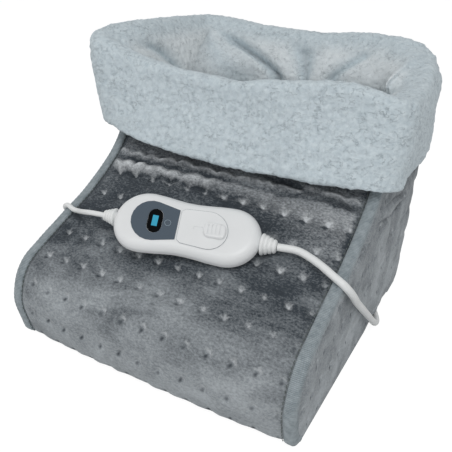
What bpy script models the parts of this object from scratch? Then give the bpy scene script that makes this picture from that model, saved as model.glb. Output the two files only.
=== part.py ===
"""Electric foot warmer: one roomy quilted boot for both feet, with a turned-down sherpa cuff.

X runs across the boot, +Y from the toe to the heel and +Z up. The origin lies on the floor, below
the middle of the boot. Lengths are in metres.
"""

import math

import bmesh
import bpy
import numpy as np
from mathutils import Matrix, Vector

for old in list(bpy.data.objects):
    bpy.data.objects.remove(old, do_unlink=True)

# Sewn shell
BODY_WIDTH = 0.265
BODY_LENGTH = 0.319
SHELL_FRONT_HEIGHT = 0.212
SHELL_BACK_RISE = 0.014
SHELL_BACK_HEIGHT = SHELL_FRONT_HEIGHT + SHELL_BACK_RISE
HALF_WIDTH = BODY_WIDTH / 2
HEEL_RADIUS = 0.018
PANEL_THICKNESS = 0.007
SEAM_GAP = 0.0003

# Side outline of the front panel, from under the toe to the front of the shaft: shares of
# BODY_LENGTH behind the toe and of SHELL_FRONT_HEIGHT above the floor
FRONT_OUTLINE_SHARES = (
    (0.066, 0.0),
    (0.030, 0.034),
    (0.016, 0.093),
    (0.000, 0.192),
    (0.012, 0.290),
    (0.045, 0.361),
    (0.105, 0.411),
    (0.200, 0.479),
    (0.290, 0.542),
    (0.380, 0.626),
    (0.440, 0.701),
    (0.478, 0.783),
    (0.487, 0.877),
    (0.487, 1.0),
)
PANEL_TUCK = 0.020
TOE_CROWN = 0.006
SLOPE_CROWN = 0.0018
CROWN_RISE = 0.030
GUSSET_CROWN = 0.002

# Spot welds that quilt the panels
TUFT_PITCH = 0.0194
TUFT_ROW = 0.027
TUFT_DEPTH = 0.0035
TUFT_START = 0.017
GUSSET_TUFT_DEPTH = 0.0012

# Bias binding over the two front seams
BINDING_WIDTH = 0.008
BINDING_DEPTH = 0.008
BINDING_PROUD = 0.001
BINDING_ROUND = 0.0025

# Heating mat under the front panel and the sole
WIRE_DIAMETER = 0.0022
WIRE_PITCH = 0.030
WIRE_REACH = HALF_WIDTH - 0.0445
WIRE_RETURN = HALF_WIDTH - 0.0285
WIRE_LEAD = 0.005
CARRIER_THICKNESS = 0.001
CARRIER_WIDTH = BODY_WIDTH - 0.039
CUTOUT_SIZE = (0.014, 0.006, 0.0018)

# Heel: stiffener board, the mat's terminal block and the inlet of its cord
BOARD_THICKNESS = 0.0055
BOARD_TOP = SHELL_FRONT_HEIGHT - 0.047
BLOCK_SIZE = (0.030, 0.005, 0.018)
INLET_X = -0.045
INLET_HEIGHT = 0.030
INLET_BORE = 0.0052
INLET_SLEEVE = 0.0046
INLET_FLANGE = 0.009
INLET_FLANGE_THICKNESS = 0.002
INLET_NOSE = 0.016
INLET_TIP = 0.0034

# Sherpa lining
LINING_THICKNESS = 0.008
LINING_TOP = SHELL_FRONT_HEIGHT - 0.047

# Turned-down cuff. Its table goes once round the shaft, clockwise from the middle of the front:
# shares of the cuff's rim height, hem height, top bulge and hem flare at each place
CUFF_RIM = SHELL_BACK_HEIGHT + 0.036
CUFF_HEM = SHELL_FRONT_HEIGHT - 0.052
CUFF_WALL = 0.012
CUFF_SLOT = 0.0038
CUFF_LEG = 0.009
CUFF_LEG_DROP = 0.052
CUFF_ROLL = 0.007
CUFF_BULGE = 0.0182
CUFF_FLARE = 0.031
CUFF_FRONT_CORNER = 0.005
CUFF_RIGHT_ROUND = 0.25
CUFF_LEFT_SHARP = 0.55
CUFF_STATIONS = 60
CUFF_CROWD = 0.030
CUFF_SMOOTHING = (-0.014, -0.007, 0.0, 0.007, 0.014)
CUFF_FOLD = 0.004

# Controller: a two-part shell, tipped towards its mains end, on the slope
CONTROLLER_LENGTH = 0.125
CONTROLLER_HEIGHT = 0.019
CONTROLLER_PARTING = 0.0099
DISPLAY_END_RADIUS = 0.0270
MAINS_END_RADIUS = 0.0256
WAIST_DEPTH = 0.0027
SHELL_WALL = 0.002
CONTROLLER_FROM_TOE = 0.0770
CONTROLLER_LIFT = 0.0075
CONTROLLER_SHIFT = (0.0, -0.0035)
CONTROLLER_YAW = math.radians(9.5)
CONTROLLER_TILT = math.radians(12.0)
CONTROLLER_ROLL = math.radians(5.0)
# The shapes on the controller's face lean by this slope towards its display end
FACE_LEAN = 0.13
FACE_Y = -0.0012

# Display panel and lens
PANEL_LEFT = -0.0455
PANEL_RIGHT = -0.0050
PANEL_RADIUS = 0.0178
PANEL_END_HALF = 0.0132
OVERLAY_THICKNESS = 0.0012
OVERLAY_RECESS = 0.0010
LENS_X = -0.0245
LENS_LENGTH = 0.0215
LENS_WIDTH = 0.0125
LENS_THICKNESS = 0.0018
MODULE_SIZE = (0.020, 0.026, 0.0045)

# Slide switch
PLATE_LEFT = -0.0035
PLATE_RIGHT = 0.0370
PLATE_HALF = 0.0165
PLATE_THICKNESS = 0.0012
KNOB_X = 0.0265
KNOB_LENGTH = 0.0178
KNOB_WIDTH = 0.0127
KNOB_HEIGHT = 0.0026
KNOB_TRAVEL = 0.011
KNOB_RIBS = 4
KNOB_RIB_PITCH = 0.0032
KNOB_RIB_WIDTH = 0.0012
KNOB_RIB_DEPTH = 0.0007
STEM_LENGTH = 0.005
STEM_WIDTH = 0.0022
SLOT_WIDTH = 0.0030
SLOT_LEFT = 0.0085
SLOT_RIGHT = 0.0320
SWITCH_SIZE = (0.024, 0.008, 0.0045)

# Circuit board and what it carries
BOARD_SIZE = (0.080, 0.031, 0.0016)
BOARD_HEIGHT = 0.0052
POST_RADIUS = 0.0024
POST_X = 0.034
POST_Y = 0.011
CAPACITOR_SIZE = (0.012, 0.006, 0.007)
FUSE_LENGTH = 0.012
FUSE_RADIUS = 0.0022
THYRISTOR_SIZE = (0.0085, 0.010, 0.0032)
SCREW_X = 0.045
SCREW_Y = 0.0125
SCREW_RADIUS = 0.0014
SCREW_HEAD = 0.0026
SCREW_LENGTH = 0.0105
BOSS_RADIUS = 0.0032
BOSS_START = 0.0031
CLAMP_SIZE = (0.005, 0.014, 0.003)

# Strain reliefs: neck that the shell holds, then a tapered ribbed sleeve
RELIEF_GAP = 0.0003
RELIEF_AXIS = 0.0099
MAINS_RELIEF_LENGTH = 0.0125
MAINS_RELIEF_RADII = (0.0092, 0.0050)
PAD_RELIEF_LENGTH = 0.011
PAD_RELIEF_RADII = (0.0080, 0.0042)
RELIEF_NECK_RADIUS = 0.0046
RELIEF_NECK_INSIDE = 0.008
RELIEF_COLLAR_RADIUS = 0.0053
RELIEF_COLLAR_LENGTH = 0.0025
RELIEF_RIBS = 4
RIB_DEPTH = 0.0013

# Cords
PAD_CORD_DIAMETER = 0.0045
MAINS_CORD_DIAMETER = 0.0062
CORD_GAP = 0.0005

# Where the mains lead runs under the boot's right edge: the arch in the side's hem and the sole's
# edge beside the lead
LEAD_HEADROOM = 0.0072
LEAD_ARCH = (0.030, 0.095)
LEAD_WAY_OUT = 0.142
LEAD_BEND = (0.040, 0.060)
LEAD_SOLE_EDGE = HALF_WIDTH - 0.016

# The coil, its tie and the plug
COIL_X = 0.050
COIL_Y = 0.2185
COIL_INNER = 0.0290
COIL_STEP = 0.0078
COIL_TURNS = 2.375
COIL_LAYER = 0.0072
LOOP_POINTS = 24
TIE_WIDTH = 0.008
TIE_THICKNESS = 0.0012
PLUG_LENGTH = 0.036
PLUG_WIDTH = 0.026
PLUG_HEIGHT = 0.0137
PLUG_TAPER = 0.42
PIN_DIAMETER = 0.004
PIN_LENGTH = 0.019
PIN_SPACING = 0.0186

SHARP_EDGE = math.radians(40)
CUFF_BACK_STAND = 0.94 * CUFF_BULGE
TOTAL_LENGTH = BODY_LENGTH + TOE_CROWN + CUFF_BACK_STAND
TOE_Y = TOE_CROWN - TOTAL_LENGTH / 2
HEEL_Y = TOE_Y + BODY_LENGTH
FRONT_WALL_Y = TOE_Y + FRONT_OUTLINE_SHARES[-1][0] * BODY_LENGTH
WIRE_LEVEL = PANEL_THICKNESS + 1.5 * SEAM_GAP + WIRE_DIAMETER / 2
CARRIER_LEVEL = PANEL_THICKNESS + 3 * SEAM_GAP + WIRE_DIAMETER
LINING_LEVEL = CARRIER_LEVEL + CARRIER_THICKNESS + SEAM_GAP
SOLE_TOP = LINING_LEVEL + LINING_THICKNESS
LINING_HALF_WIDTH = HALF_WIDTH - PANEL_THICKNESS - LINING_THICKNESS - 2 * SEAM_GAP
BOARD_Y = HEEL_Y - PANEL_THICKNESS - SEAM_GAP
LINING_BACK_Y = BOARD_Y - BOARD_THICKNESS - SEAM_GAP


def paint(name, colour, roughness, metallic=0.0):
    """A Principled material of one colour."""
    made = bpy.data.materials.new(name)
    made.use_nodes = True
    shader = made.node_tree.nodes["Principled BSDF"]
    shader.inputs["Base Color"].default_value = (*colour, 1.0)
    shader.inputs["Roughness"].default_value = roughness
    shader.inputs["Metallic"].default_value = metallic
    made.diffuse_color = (*colour, 1.0)
    return made


FLANNEL = ((0.21, 0.23, 0.25), 0.85)
SHERPA = ((0.56, 0.63, 0.66), 0.95)
RIBBON = ((0.22, 0.27, 0.27), 0.80)
FELT = ((0.75, 0.74, 0.70), 0.95)
WHITE_PLASTIC = ((0.78, 0.80, 0.81), 0.35)
SLATE = ((0.07, 0.10, 0.13), 0.40)
BLACK_GLASS = ((0.01, 0.01, 0.01), 0.10)
CORD_WHITE = ((0.80, 0.81, 0.80), 0.45)
SILICONE = ((0.72, 0.30, 0.24), 0.50)
BOARD_GREEN = ((0.05, 0.22, 0.10), 0.50)
DARK_PLASTIC = ((0.03, 0.03, 0.03), 0.50)
CARDBOARD = ((0.45, 0.36, 0.25), 0.90)
NICKEL = ((0.70, 0.68, 0.64), 0.25, 1.0)


def place(name, data, look, parent=None, location=(0.0, 0.0, 0.0)):
    """Link an object with its own material, under a parent's frame where one is given."""
    made = bpy.data.objects.new(name, data)
    data.materials.append(paint(name + "_material", *look))
    bpy.context.scene.collection.objects.link(made)
    made.parent = parent
    made.location = location
    return made


def solid(name, points, faces, look, parent=None, location=(0.0, 0.0, 0.0), flat=False):
    """A closed mesh object whose faces point out, shaded smooth but for its sharp edges."""
    shell = bmesh.new()
    corners = [shell.verts.new(point) for point in points]
    for face in faces:
        shell.faces.new([corners[index] for index in face])
    bmesh.ops.recalc_face_normals(shell, faces=shell.faces)
    mesh = bpy.data.meshes.new(name)
    shell.to_mesh(mesh)
    shell.free()
    if not flat:
        mesh.shade_smooth()
        mesh.set_sharp_from_angle(angle=SHARP_EDGE)
    return place(name, mesh, look, parent, location)


def lofted(name, rings, look, **more):
    """Rings of equal length joined in order, the first and the last one closed by a face."""
    count = len(rings[0])
    points = [point for ring in rings for point in ring]
    faces = [tuple(range(count)), tuple(range((len(rings) - 1) * count, len(points)))]
    for row in range(len(rings) - 1):
        for column in range(count):
            after = (column + 1) % count
            low, high = row * count, (row + 1) * count
            faces.append((low + column, low + after, high + after, high + column))
    return solid(name, points, faces, look, **more)


def ring_loop(name, sections, look):
    """Closed sections joined in order and back to the first: a ring with a hole."""
    count = len(sections[0])
    points = [point for section in sections for point in section]
    faces = []
    for row in range(len(sections)):
        low, high = row * count, (row + 1) % len(sections) * count
        for column in range(count):
            after = (column + 1) % count
            faces.append((low + column, low + after, high + after, high + column))
    return solid(name, points, faces, look)


def sheet(name, outside, inside, look):
    """A thick sheet: a grid of outside points, and inside points at the two ends of each row."""
    rows, columns = len(outside), len(outside[0])
    points = [point for row in outside for point in row]
    first = len(points)
    points += [point for row in inside for point in row]
    faces = []
    for row in range(rows - 1):
        for column in range(columns - 1):
            at = row * columns + column
            faces.append((at, at + 1, at + columns + 1, at + columns))
        left, right = first + 2 * row, first + 2 * row + 1
        faces.append((left, right, right + 2, left + 2))
        faces.append((row * columns, (row + 1) * columns, left + 2, left))
        edge = row * columns + columns - 1
        faces.append((edge, edge + columns, right + 2, right))
    for row in (0, rows - 1):
        edge = [row * columns + column for column in range(columns)]
        faces.append(edge + [first + 2 * row + 1, first + 2 * row])
    return solid(name, points, faces, look)


def prism(name, outline, reach, look, start=None):
    """A (y, z) outline carried across the boot from -reach (or start) to +reach."""
    low = -reach if start is None else start
    rings = [[(x, y, z) for y, z in outline] for x in (low, reach)]
    return lofted(name, rings, look)


def block(name, size, centre, look, parent=None, bevel=0.0):
    """A box of the given size about its centre, with its edges bevelled."""
    shell = bmesh.new()
    bmesh.ops.create_cube(shell, size=1.0)
    bmesh.ops.scale(shell, vec=size, verts=shell.verts)
    bmesh.ops.translate(shell, vec=centre, verts=shell.verts)
    mesh = bpy.data.meshes.new(name)
    shell.to_mesh(mesh)
    shell.free()
    made = place(name, mesh, look, parent)
    if bevel:
        rounding = made.modifiers.new("edges", "BEVEL")
        rounding.width = bevel
        rounding.segments = 1
    return made


def cut(target, cutter):
    """Take the cutter's shape out of the target, and hide the cutter."""
    cutter.hide_render = True
    cutter.display_type = "WIRE"
    carve = target.modifiers.new("cut by " + cutter.name, "BOOLEAN")
    carve.operation = "DIFFERENCE"
    carve.object = cutter


def merge(target, other):
    """Join another shape to the target, and hide that shape."""
    other.hide_render = True
    other.display_type = "WIRE"
    join = target.modifiers.new("joined to " + other.name, "BOOLEAN")
    join.operation = "UNION"
    join.object = other


def circle(centre, radius, axis, count):
    """Points of a circle about an axis direction."""
    across = Vector(axis).orthogonal().normalized()
    other = Vector(axis).cross(across)
    turns = [2 * math.pi * step / count for step in range(count)]
    return [
        Vector(centre) + radius * (math.cos(turn) * across + math.sin(turn) * other)
        for turn in turns
    ]


def turned(name, start, axis, profile, look, count=12, **more):
    """A round piece: (distance along the axis, radius) pairs, lofted as circles."""
    direction = Vector(axis).normalized()
    rings = [
        circle(Vector(start) + direction * along, radius, direction, count)
        for along, radius in profile
    ]
    return lofted(name, rings, look, **more)


def smooth_curve(points, steps):
    """A smooth curve through the points, with the given number of steps between two of them."""
    knots = np.array(points, float)
    ends = np.vstack([2 * knots[0] - knots[1], knots, 2 * knots[-1] - knots[-2]])
    curve = []
    for span in range(1, len(ends) - 2):
        before, start, stop, after = ends[span - 1 : span + 3]
        for share in np.linspace(0.0, 1.0, steps, endpoint=False):
            curve.append(
                0.5
                * (
                    2 * start
                    + (stop - before) * share
                    + (2 * before - 5 * start + 4 * stop - after) * share**2
                    + (3 * start - before - 3 * stop + after) * share**3
                )
            )
    curve.append(knots[-1])
    return np.array(curve)


def spread(curve, count):
    """The same line with its points evenly spaced."""
    steps = np.linalg.norm(np.diff(curve, axis=0), axis=1)
    along = np.concatenate([[0.0], np.cumsum(steps)])
    wanted = np.linspace(0.0, along[-1], count)
    return np.column_stack([np.interp(wanted, along, column) for column in curve.T])


def past(line, y):
    """The line from where its floor run comes in front of the given place."""
    return line[int(np.argmax(line[:, 0] < y)) :]


def shifted(line, distance):
    """A line moved in by a distance with its straight runs kept parallel, so that gaps are exact."""
    run = np.diff(line, axis=0)
    run /= np.linalg.norm(run, axis=1)[:, None]
    normal = np.column_stack([run[:, 1], -run[:, 0]])
    before = np.vstack([normal[:1], normal])
    after = np.vstack([normal, normal[-1:]])
    middle = before + after
    middle *= 2 / np.sum(middle * middle, axis=1)[:, None]
    return line + distance * middle


def from_height(line, height):
    """The end part of a rising line, from the given height on."""
    first = int(np.argmax(line[:, 1] > height))
    low, high = line[first - 1], line[first]
    share = (height - low[1]) / (high[1] - low[1])
    return np.vstack([low + share * (high - low), line[first:]])


def to_height(line, height):
    """The first part of a rising line, up to the given height."""
    last = int(np.argmax(line[:, 1] > height))
    if line[last, 1] <= height:
        return line
    low, high = line[last - 1], line[last]
    share = (height - low[1]) / (high[1] - low[1])
    return np.vstack([line[:last], low + share * (high - low)])


def front_outline():
    """The front panel's outer line at its seams, as (y, z), from under the toe to the shell's top."""
    knots = [
        (TOE_Y + back * BODY_LENGTH, up * SHELL_FRONT_HEIGHT)
        for back, up in FRONT_OUTLINE_SHARES
    ]
    return smooth_curve(knots, 24)


FRONT_LINE = front_outline()
UNDER_TOE_Y = FRONT_LINE[0][0]


def inset_line(inset):
    """The boot's line along the floor, round the toe and up the front, moved in by the inset."""
    floor = np.column_stack(
        [np.linspace(HEEL_Y, UNDER_TOE_Y, 240, endpoint=False), np.zeros(240)]
    )
    line = spread(np.vstack([floor, FRONT_LINE]), 600)
    run = np.gradient(line, axis=0)
    run /= np.linalg.norm(run, axis=1)[:, None]
    moved = line + inset * np.column_stack([run[:, 1], -run[:, 0]])
    gaps = np.linalg.norm(moved[:, None, :] - line[None, :, :], axis=2).min(axis=1)
    return moved[gaps > inset * 0.998]


def row_stops():
    """Places along the front outline, from its tuck under the sole, where the panel has rows."""
    length = float(np.linalg.norm(np.diff(FRONT_LINE, axis=0), axis=1).sum())
    step = TUFT_ROW / 3
    first = TUFT_START - math.floor((TUFT_START + PANEL_TUCK) / step) * step
    stops = np.arange(first, length, step)
    stops = [stop for stop in stops if -PANEL_TUCK + step / 3 < stop < length - step / 3]
    return np.array([-PANEL_TUCK] + stops + [length])


def outline_at(stops):
    """The outer line's points and directions at places along it; before 0 it lies on the floor."""
    line = np.vstack([[UNDER_TOE_Y + PANEL_TUCK, 0.0], FRONT_LINE])
    along = np.concatenate([[0.0], np.cumsum(np.linalg.norm(np.diff(line, axis=0), axis=1))])
    along -= PANEL_TUCK
    run = np.gradient(line, axis=0)
    run[:2] = (-1.0, 0.0)
    run /= np.linalg.norm(run, axis=1)[:, None]
    points = np.column_stack([np.interp(stops, along, column) for column in line.T])
    ways = np.column_stack([np.interp(stops, along, column) for column in run.T])
    return points, ways / np.linalg.norm(ways, axis=1)[:, None]


def reference_line():
    """The heater's level as a line with one point behind each row of the front panel."""
    fine = inset_line(CARRIER_LEVEL)
    points, ways = outline_at(row_stops())
    behind = points + CARRIER_LEVEL * np.column_stack([ways[:, 1], -ways[:, 0]])
    nearest = [fine[np.argmin(np.linalg.norm(fine - place_at, axis=1))] for place_at in behind]
    nearest[0] = np.array([UNDER_TOE_Y + PANEL_TUCK, CARRIER_LEVEL])
    nearest[-1] = behind[-1]
    return np.vstack([[HEEL_Y, CARRIER_LEVEL], nearest])


REFERENCE = reference_line()


def layer(inset):
    """The line of a layer that runs along the sole, round the toe and up the front."""
    return shifted(REFERENCE, inset - CARRIER_LEVEL)


def front_height(y):
    """The sewn shell's top edge, which rises from the front of the shaft to the heel."""
    share = (y - FRONT_WALL_Y) / (HEEL_Y - FRONT_WALL_Y)
    share = min(max(share, 0.0), 1.0)
    return SHELL_FRONT_HEIGHT + share * (SHELL_BACK_HEIGHT - SHELL_FRONT_HEIGHT)


def ease(share):
    """Smooth step from 0 to 1."""
    share = min(max(share, 0.0), 1.0)
    return share * share * (3 - 2 * share)


def dimple(across, along):
    """How deep a spot weld pulls the cloth at a place, as a share of its full depth."""
    near = 0.5 + 0.5 * math.cos(2 * math.pi * across / TUFT_PITCH)
    level = 0.5 + 0.5 * math.cos(2 * math.pi * along / TUFT_ROW)
    return (near * level) ** 2


def front_panel():
    """The quilted panel from under the toe, up the slope and on to the top of the shaft."""
    edge = HALF_WIDTH - BINDING_WIDTH - SEAM_GAP
    middle = TUFT_PITCH / 4
    reach = int((edge - middle) / (TUFT_PITCH / 2))
    columns = [middle + step * TUFT_PITCH / 2 for step in range(-reach - 1, reach + 1)]
    columns = [x for x in columns if abs(x) < edge - TUFT_PITCH / 6]
    columns = [-edge] + columns + [edge]
    stops = row_stops()
    points, ways = outline_at(stops)
    inner = layer(PANEL_THICKNESS)[1:]
    outside, inside = [], []
    for index, stop in enumerate(stops):
        y, z = points[index]
        forth, up = ways[index]
        rise = ease(stop / CROWN_RISE)
        high = stops[-1] - stop
        near_toe = 1 - ease((stop - 2 * CROWN_RISE) / (2 * CROWN_RISE))
        crown = SLOPE_CROWN + (TOE_CROWN - SLOPE_CROWN) * near_toe
        crown *= rise * ease(high / CROWN_RISE - 1)
        row = []
        for x in columns:
            swell = crown * (1 - (x / edge) ** 4)
            pull = TUFT_DEPTH * dimple(x - middle, stop - TUFT_START) * rise
            pull *= 1 - ease(abs(x / edge) * 8 - 7)
            out = swell - pull
            row.append((x, y - out * up, max(z + out * forth, 0.0)))
        outside.append(row)
        low = inner[index]
        inside.append([(-edge, low[0], low[1]), (edge, low[0], low[1])])
    return sheet("front_panel", outside, inside, FLANNEL)


def hem_height(side, y):
    """Height of a gusset's lower edge: the right one clears the mains lead where it passes under."""
    passed = LEAD_ARCH[0] < y < LEAD_ARCH[1] or y > LEAD_WAY_OUT
    return LEAD_HEADROOM if side > 0 and passed else 0.0


def gusset(name, side):
    """A side panel: flat beside the binding, round the heel, with faint spot welds."""
    line = inset_line(BINDING_DEPTH + 4 * SEAM_GAP)
    line = past(line, UNDER_TOE_Y)
    rows, straight, bend = 15, 13, 5
    outside, inside = [], []
    start_y = UNDER_TOE_Y + SEAM_GAP
    low_z = line[0, 1]
    shares = [0.0] + [0.04 + 0.96 * step / (rows - 2) for step in range(rows - 1)]
    for share in shares:
        height = share * SHELL_FRONT_HEIGHT
        if height <= low_z:
            front = start_y
        else:
            front = float(np.interp(height, line[:, 1], line[:, 0]))
        back = HEEL_Y - HEEL_RADIUS
        row, skin = [], []
        for step in range(straight):
            along = step / (straight - 1)
            y = front + along * (back - front)
            z = share * front_height(y) if share else hem_height(side, y)
            swell = GUSSET_CROWN * math.sin(math.pi * along) * math.sin(math.pi * share)
            pull = GUSSET_TUFT_DEPTH * dimple(y - back, z) * ease(4 * share) * ease(4 - 4 * share)
            row.append((side * (HALF_WIDTH + swell - pull), y, z))
            skin.append((side * (HALF_WIDTH - PANEL_THICKNESS), y, z))
        for step in range(1, bend + 1):
            turn = math.pi / 2 * step / bend
            for radius, kept in ((HEEL_RADIUS, row), (HEEL_RADIUS - PANEL_THICKNESS, skin)):
                x = HALF_WIDTH - HEEL_RADIUS + radius * math.cos(turn)
                y = back + radius * math.sin(turn)
                z = share * front_height(y) if share else hem_height(side, y)
                kept.append((side * x, y, z))
        outside.append(row)
        inside.append(skin)
    return double_grid(name, outside, inside, FLANNEL)


def double_grid(name, outside, inside, look):
    """A thick sheet whose two faces have the same grid of points."""
    rows, columns = len(outside), len(outside[0])
    points = [point for grid in (outside, inside) for row in grid for point in row]
    other = rows * columns
    faces = []
    for row in range(rows - 1):
        for column in range(columns - 1):
            at = row * columns + column
            faces.append((at, at + 1, at + columns + 1, at + columns))
            at += other
            faces.append((at, at + columns, at + columns + 1, at + 1))
    rim = [column for column in range(columns)]
    rim += [row * columns + columns - 1 for row in range(1, rows)]
    rim += [(rows - 1) * columns + column for column in range(columns - 2, -1, -1)]
    rim += [row * columns for row in range(rows - 2, 0, -1)]
    for index, at in enumerate(rim):
        after = rim[(index + 1) % len(rim)]
        faces.append((at, after, after + other, at + other))
    return solid(name, points, faces, look)


def binding(name, side):
    """Bias tape folded over the seam between the front panel and a gusset."""
    line = spread(FRONT_LINE, 40)
    run = np.gradient(line, axis=0)
    run /= np.linalg.norm(run, axis=1)[:, None]
    run[0] = (-1.0, 0.0)
    inner_x = HALF_WIDTH - BINDING_WIDTH
    outer_x = HALF_WIDTH + BINDING_PROUD / 2
    rings = []
    for index, (y, z) in enumerate(line):
        forth, up = run[index]
        proud = BINDING_PROUD * ease(index / 5)
        corners = (
            (inner_x, -BINDING_DEPTH),
            (outer_x, -BINDING_DEPTH),
            (outer_x, proud - BINDING_ROUND),
            (outer_x - BINDING_ROUND, proud),
            (inner_x + BINDING_ROUND / 2, proud),
            (inner_x, proud - BINDING_ROUND / 2),
        )
        ring = []
        for x, out in corners:
            ring.append((side * x, y - out * up, max(z + out * forth, 0.0)))
        rings.append(ring)
    return lofted(name, rings, RIBBON)


def back_panel():
    """The heel and the back of the shaft, between the two gussets' bends."""
    reach = HALF_WIDTH - HEEL_RADIUS - SEAM_GAP
    columns = [reach * (-1 + 2 * step / 12) for step in range(13)]
    outside, inside = [], []
    for step in range(13):
        share = step / 12
        row = []
        for x in columns:
            pull = GUSSET_TUFT_DEPTH * ((step + columns.index(x)) % 2) * ease(4 * share) * ease(4 - 4 * share)
            row.append((x, HEEL_Y - pull, share * SHELL_BACK_HEIGHT))
        outside.append(row)
        inner_y = HEEL_Y - PANEL_THICKNESS
        inside.append([(x, inner_y, share * SHELL_BACK_HEIGHT) for x in (-reach, reach)])
    return sheet("back_panel", outside, inside, FLANNEL)


def base_panel():
    """The sole of the sewn shell, flat on the floor between the gussets and the back panel."""
    low = UNDER_TOE_Y + PANEL_TUCK + SEAM_GAP
    high = HEEL_Y - PANEL_THICKNESS - SEAM_GAP
    reach = HALF_WIDTH - PANEL_THICKNESS - SEAM_GAP
    corner = HEEL_RADIUS - PANEL_THICKNESS
    beside = high - (LEAD_SOLE_EDGE - reach + corner)
    outline = [(-reach, low), (reach, low), (reach, LEAD_BEND[0]), (LEAD_SOLE_EDGE, LEAD_BEND[1])]
    outline += [(LEAD_SOLE_EDGE, beside), (reach - corner, high)]
    outline += [(corner - reach, high), (-reach, high - corner)]
    rings = [[(x, y, z) for x, y in outline] for z in (0.0, PANEL_THICKNESS)]
    return lofted("base_panel", rings, FLANNEL)


def mat_line(inset):
    """A heater layer's line from the heel board along the sole, round the toe and up to the neck."""
    line = to_height(layer(inset), LINING_TOP)
    line[0, 0] = BOARD_Y - BOARD_THICKNESS - 2 * SEAM_GAP
    return line


def heater_carrier():
    """The felt that the heating wire is sewn to, from the heel to the neck."""
    outer = mat_line(CARRIER_LEVEL)
    inner = mat_line(CARRIER_LEVEL + CARRIER_THICKNESS)
    outline = [tuple(point) for point in outer] + [tuple(point) for point in inner[::-1]]
    prism("heater_carrier", outline, CARRIER_WIDTH / 2, FELT)


def folded(path, line):
    """A flat path of (x, place along) laid on the layer's line, with a point at each fold."""
    steps = np.concatenate([[0.0], np.cumsum(np.linalg.norm(np.diff(line, axis=0), axis=1))])
    points = []
    for (x, along), (next_x, next_along) in zip(path, path[1:]):
        points.append((x, along))
        low, high = sorted((along, next_along))
        folds = [step for step in steps if low + WIRE_DIAMETER < step < high - WIRE_DIAMETER]
        for step in folds if next_along > along else folds[::-1]:
            points.append((x + (next_x - x) * (step - along) / (next_along - along), step))
    points.append(path[-1])
    return [wire_place(line, along, x) for x, along in points]


def wire_place(line, along, x):
    """A point of the heating wire, from its place along the layer's line."""
    steps = np.concatenate([[0.0], np.cumsum(np.linalg.norm(np.diff(line, axis=0), axis=1))])
    y, z = (float(np.interp(along, steps, line[:, axis])) for axis in (0, 1))
    return (x, y, z)


def heating_wire():
    """One silicone-covered wire, to and fro across the mat and back along its right edge."""
    line = to_height(layer(WIRE_LEVEL), LINING_TOP)
    steps = np.concatenate([[0.0], np.cumsum(np.linalg.norm(np.diff(line, axis=0), axis=1))])
    start = HEEL_Y - BOARD_Y + BOARD_THICKNESS / 2
    lead, entry = BLOCK_SIZE[0] / 6, WIRE_PITCH
    rows = int((steps[-1] - entry - WIRE_PITCH) / WIRE_PITCH)
    turn = WIRE_PITCH / 2
    path = [(INLET_X - lead, start), (INLET_X - lead, entry - WIRE_LEAD)]
    path.append((INLET_X - lead - WIRE_LEAD, entry))
    for row in range(rows):
        along = entry + row * WIRE_PITCH
        way = -1 if row % 2 == 0 else 1
        far = way * (WIRE_REACH - turn)
        if row:
            path.append((-far, along))
        path.append((far, along))
        if row == rows - 1:
            break
        for angle in (-45, 0, 45):
            bend = math.radians(angle)
            path.append((far + way * turn * math.cos(bend), along + turn + turn * math.sin(bend)))
    last = entry + (rows - 1) * WIRE_PITCH
    if path[-1][0] < 0:
        path.append((-WIRE_REACH, last + turn))
        path.append((turn - WIRE_REACH, last + WIRE_PITCH - WIRE_LEAD))
        last += WIRE_PITCH - WIRE_LEAD
        path.append((WIRE_REACH, last))
    path.append((WIRE_RETURN - WIRE_LEAD, last))
    path.append((WIRE_RETURN, last - WIRE_LEAD))
    near = (start + entry) / 2
    path.append((WIRE_RETURN, near + WIRE_LEAD))
    path.append((WIRE_RETURN - WIRE_LEAD, near))
    path.append((INLET_X + lead + WIRE_LEAD, near))
    path.append((INLET_X + lead, near - WIRE_LEAD / 2))
    path.append((INLET_X + lead, start))
    return tube("heating_wire", folded(path, line), WIRE_DIAMETER, 1, SILICONE)


def tube(name, points, diameter, resolution, look):
    """A round cord along the points, with its ends closed."""
    curve = bpy.data.curves.new(name, "CURVE")
    curve.dimensions = "3D"
    curve.bevel_depth = diameter / 2
    curve.bevel_resolution = resolution
    curve.use_fill_caps = True
    spline = curve.splines.new("POLY")
    spline.points.add(len(points) - 1)
    for point, place_at in zip(spline.points, points):
        point.co = (*place_at, 1.0)
        point.tilt = 0.0
    return place(name, curve, look)


def cutout(name, along, x):
    """A thermal cut-out in its sleeve, in the wire's layer between two of its rows."""
    line = layer(WIRE_LEVEL)
    centre = wire_place(line, along, x)
    ahead = wire_place(line, along + CUTOUT_SIZE[1], x)
    pitch = math.atan2(ahead[2] - centre[2], centre[1] - ahead[1])
    made = block(name, CUTOUT_SIZE, (0.0, 0.0, 0.0), DARK_PLASTIC, bevel=CUTOUT_SIZE[2] / 5)
    made.location = centre
    made.rotation_euler = (-pitch, 0.0, 0.0)
    return made


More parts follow.
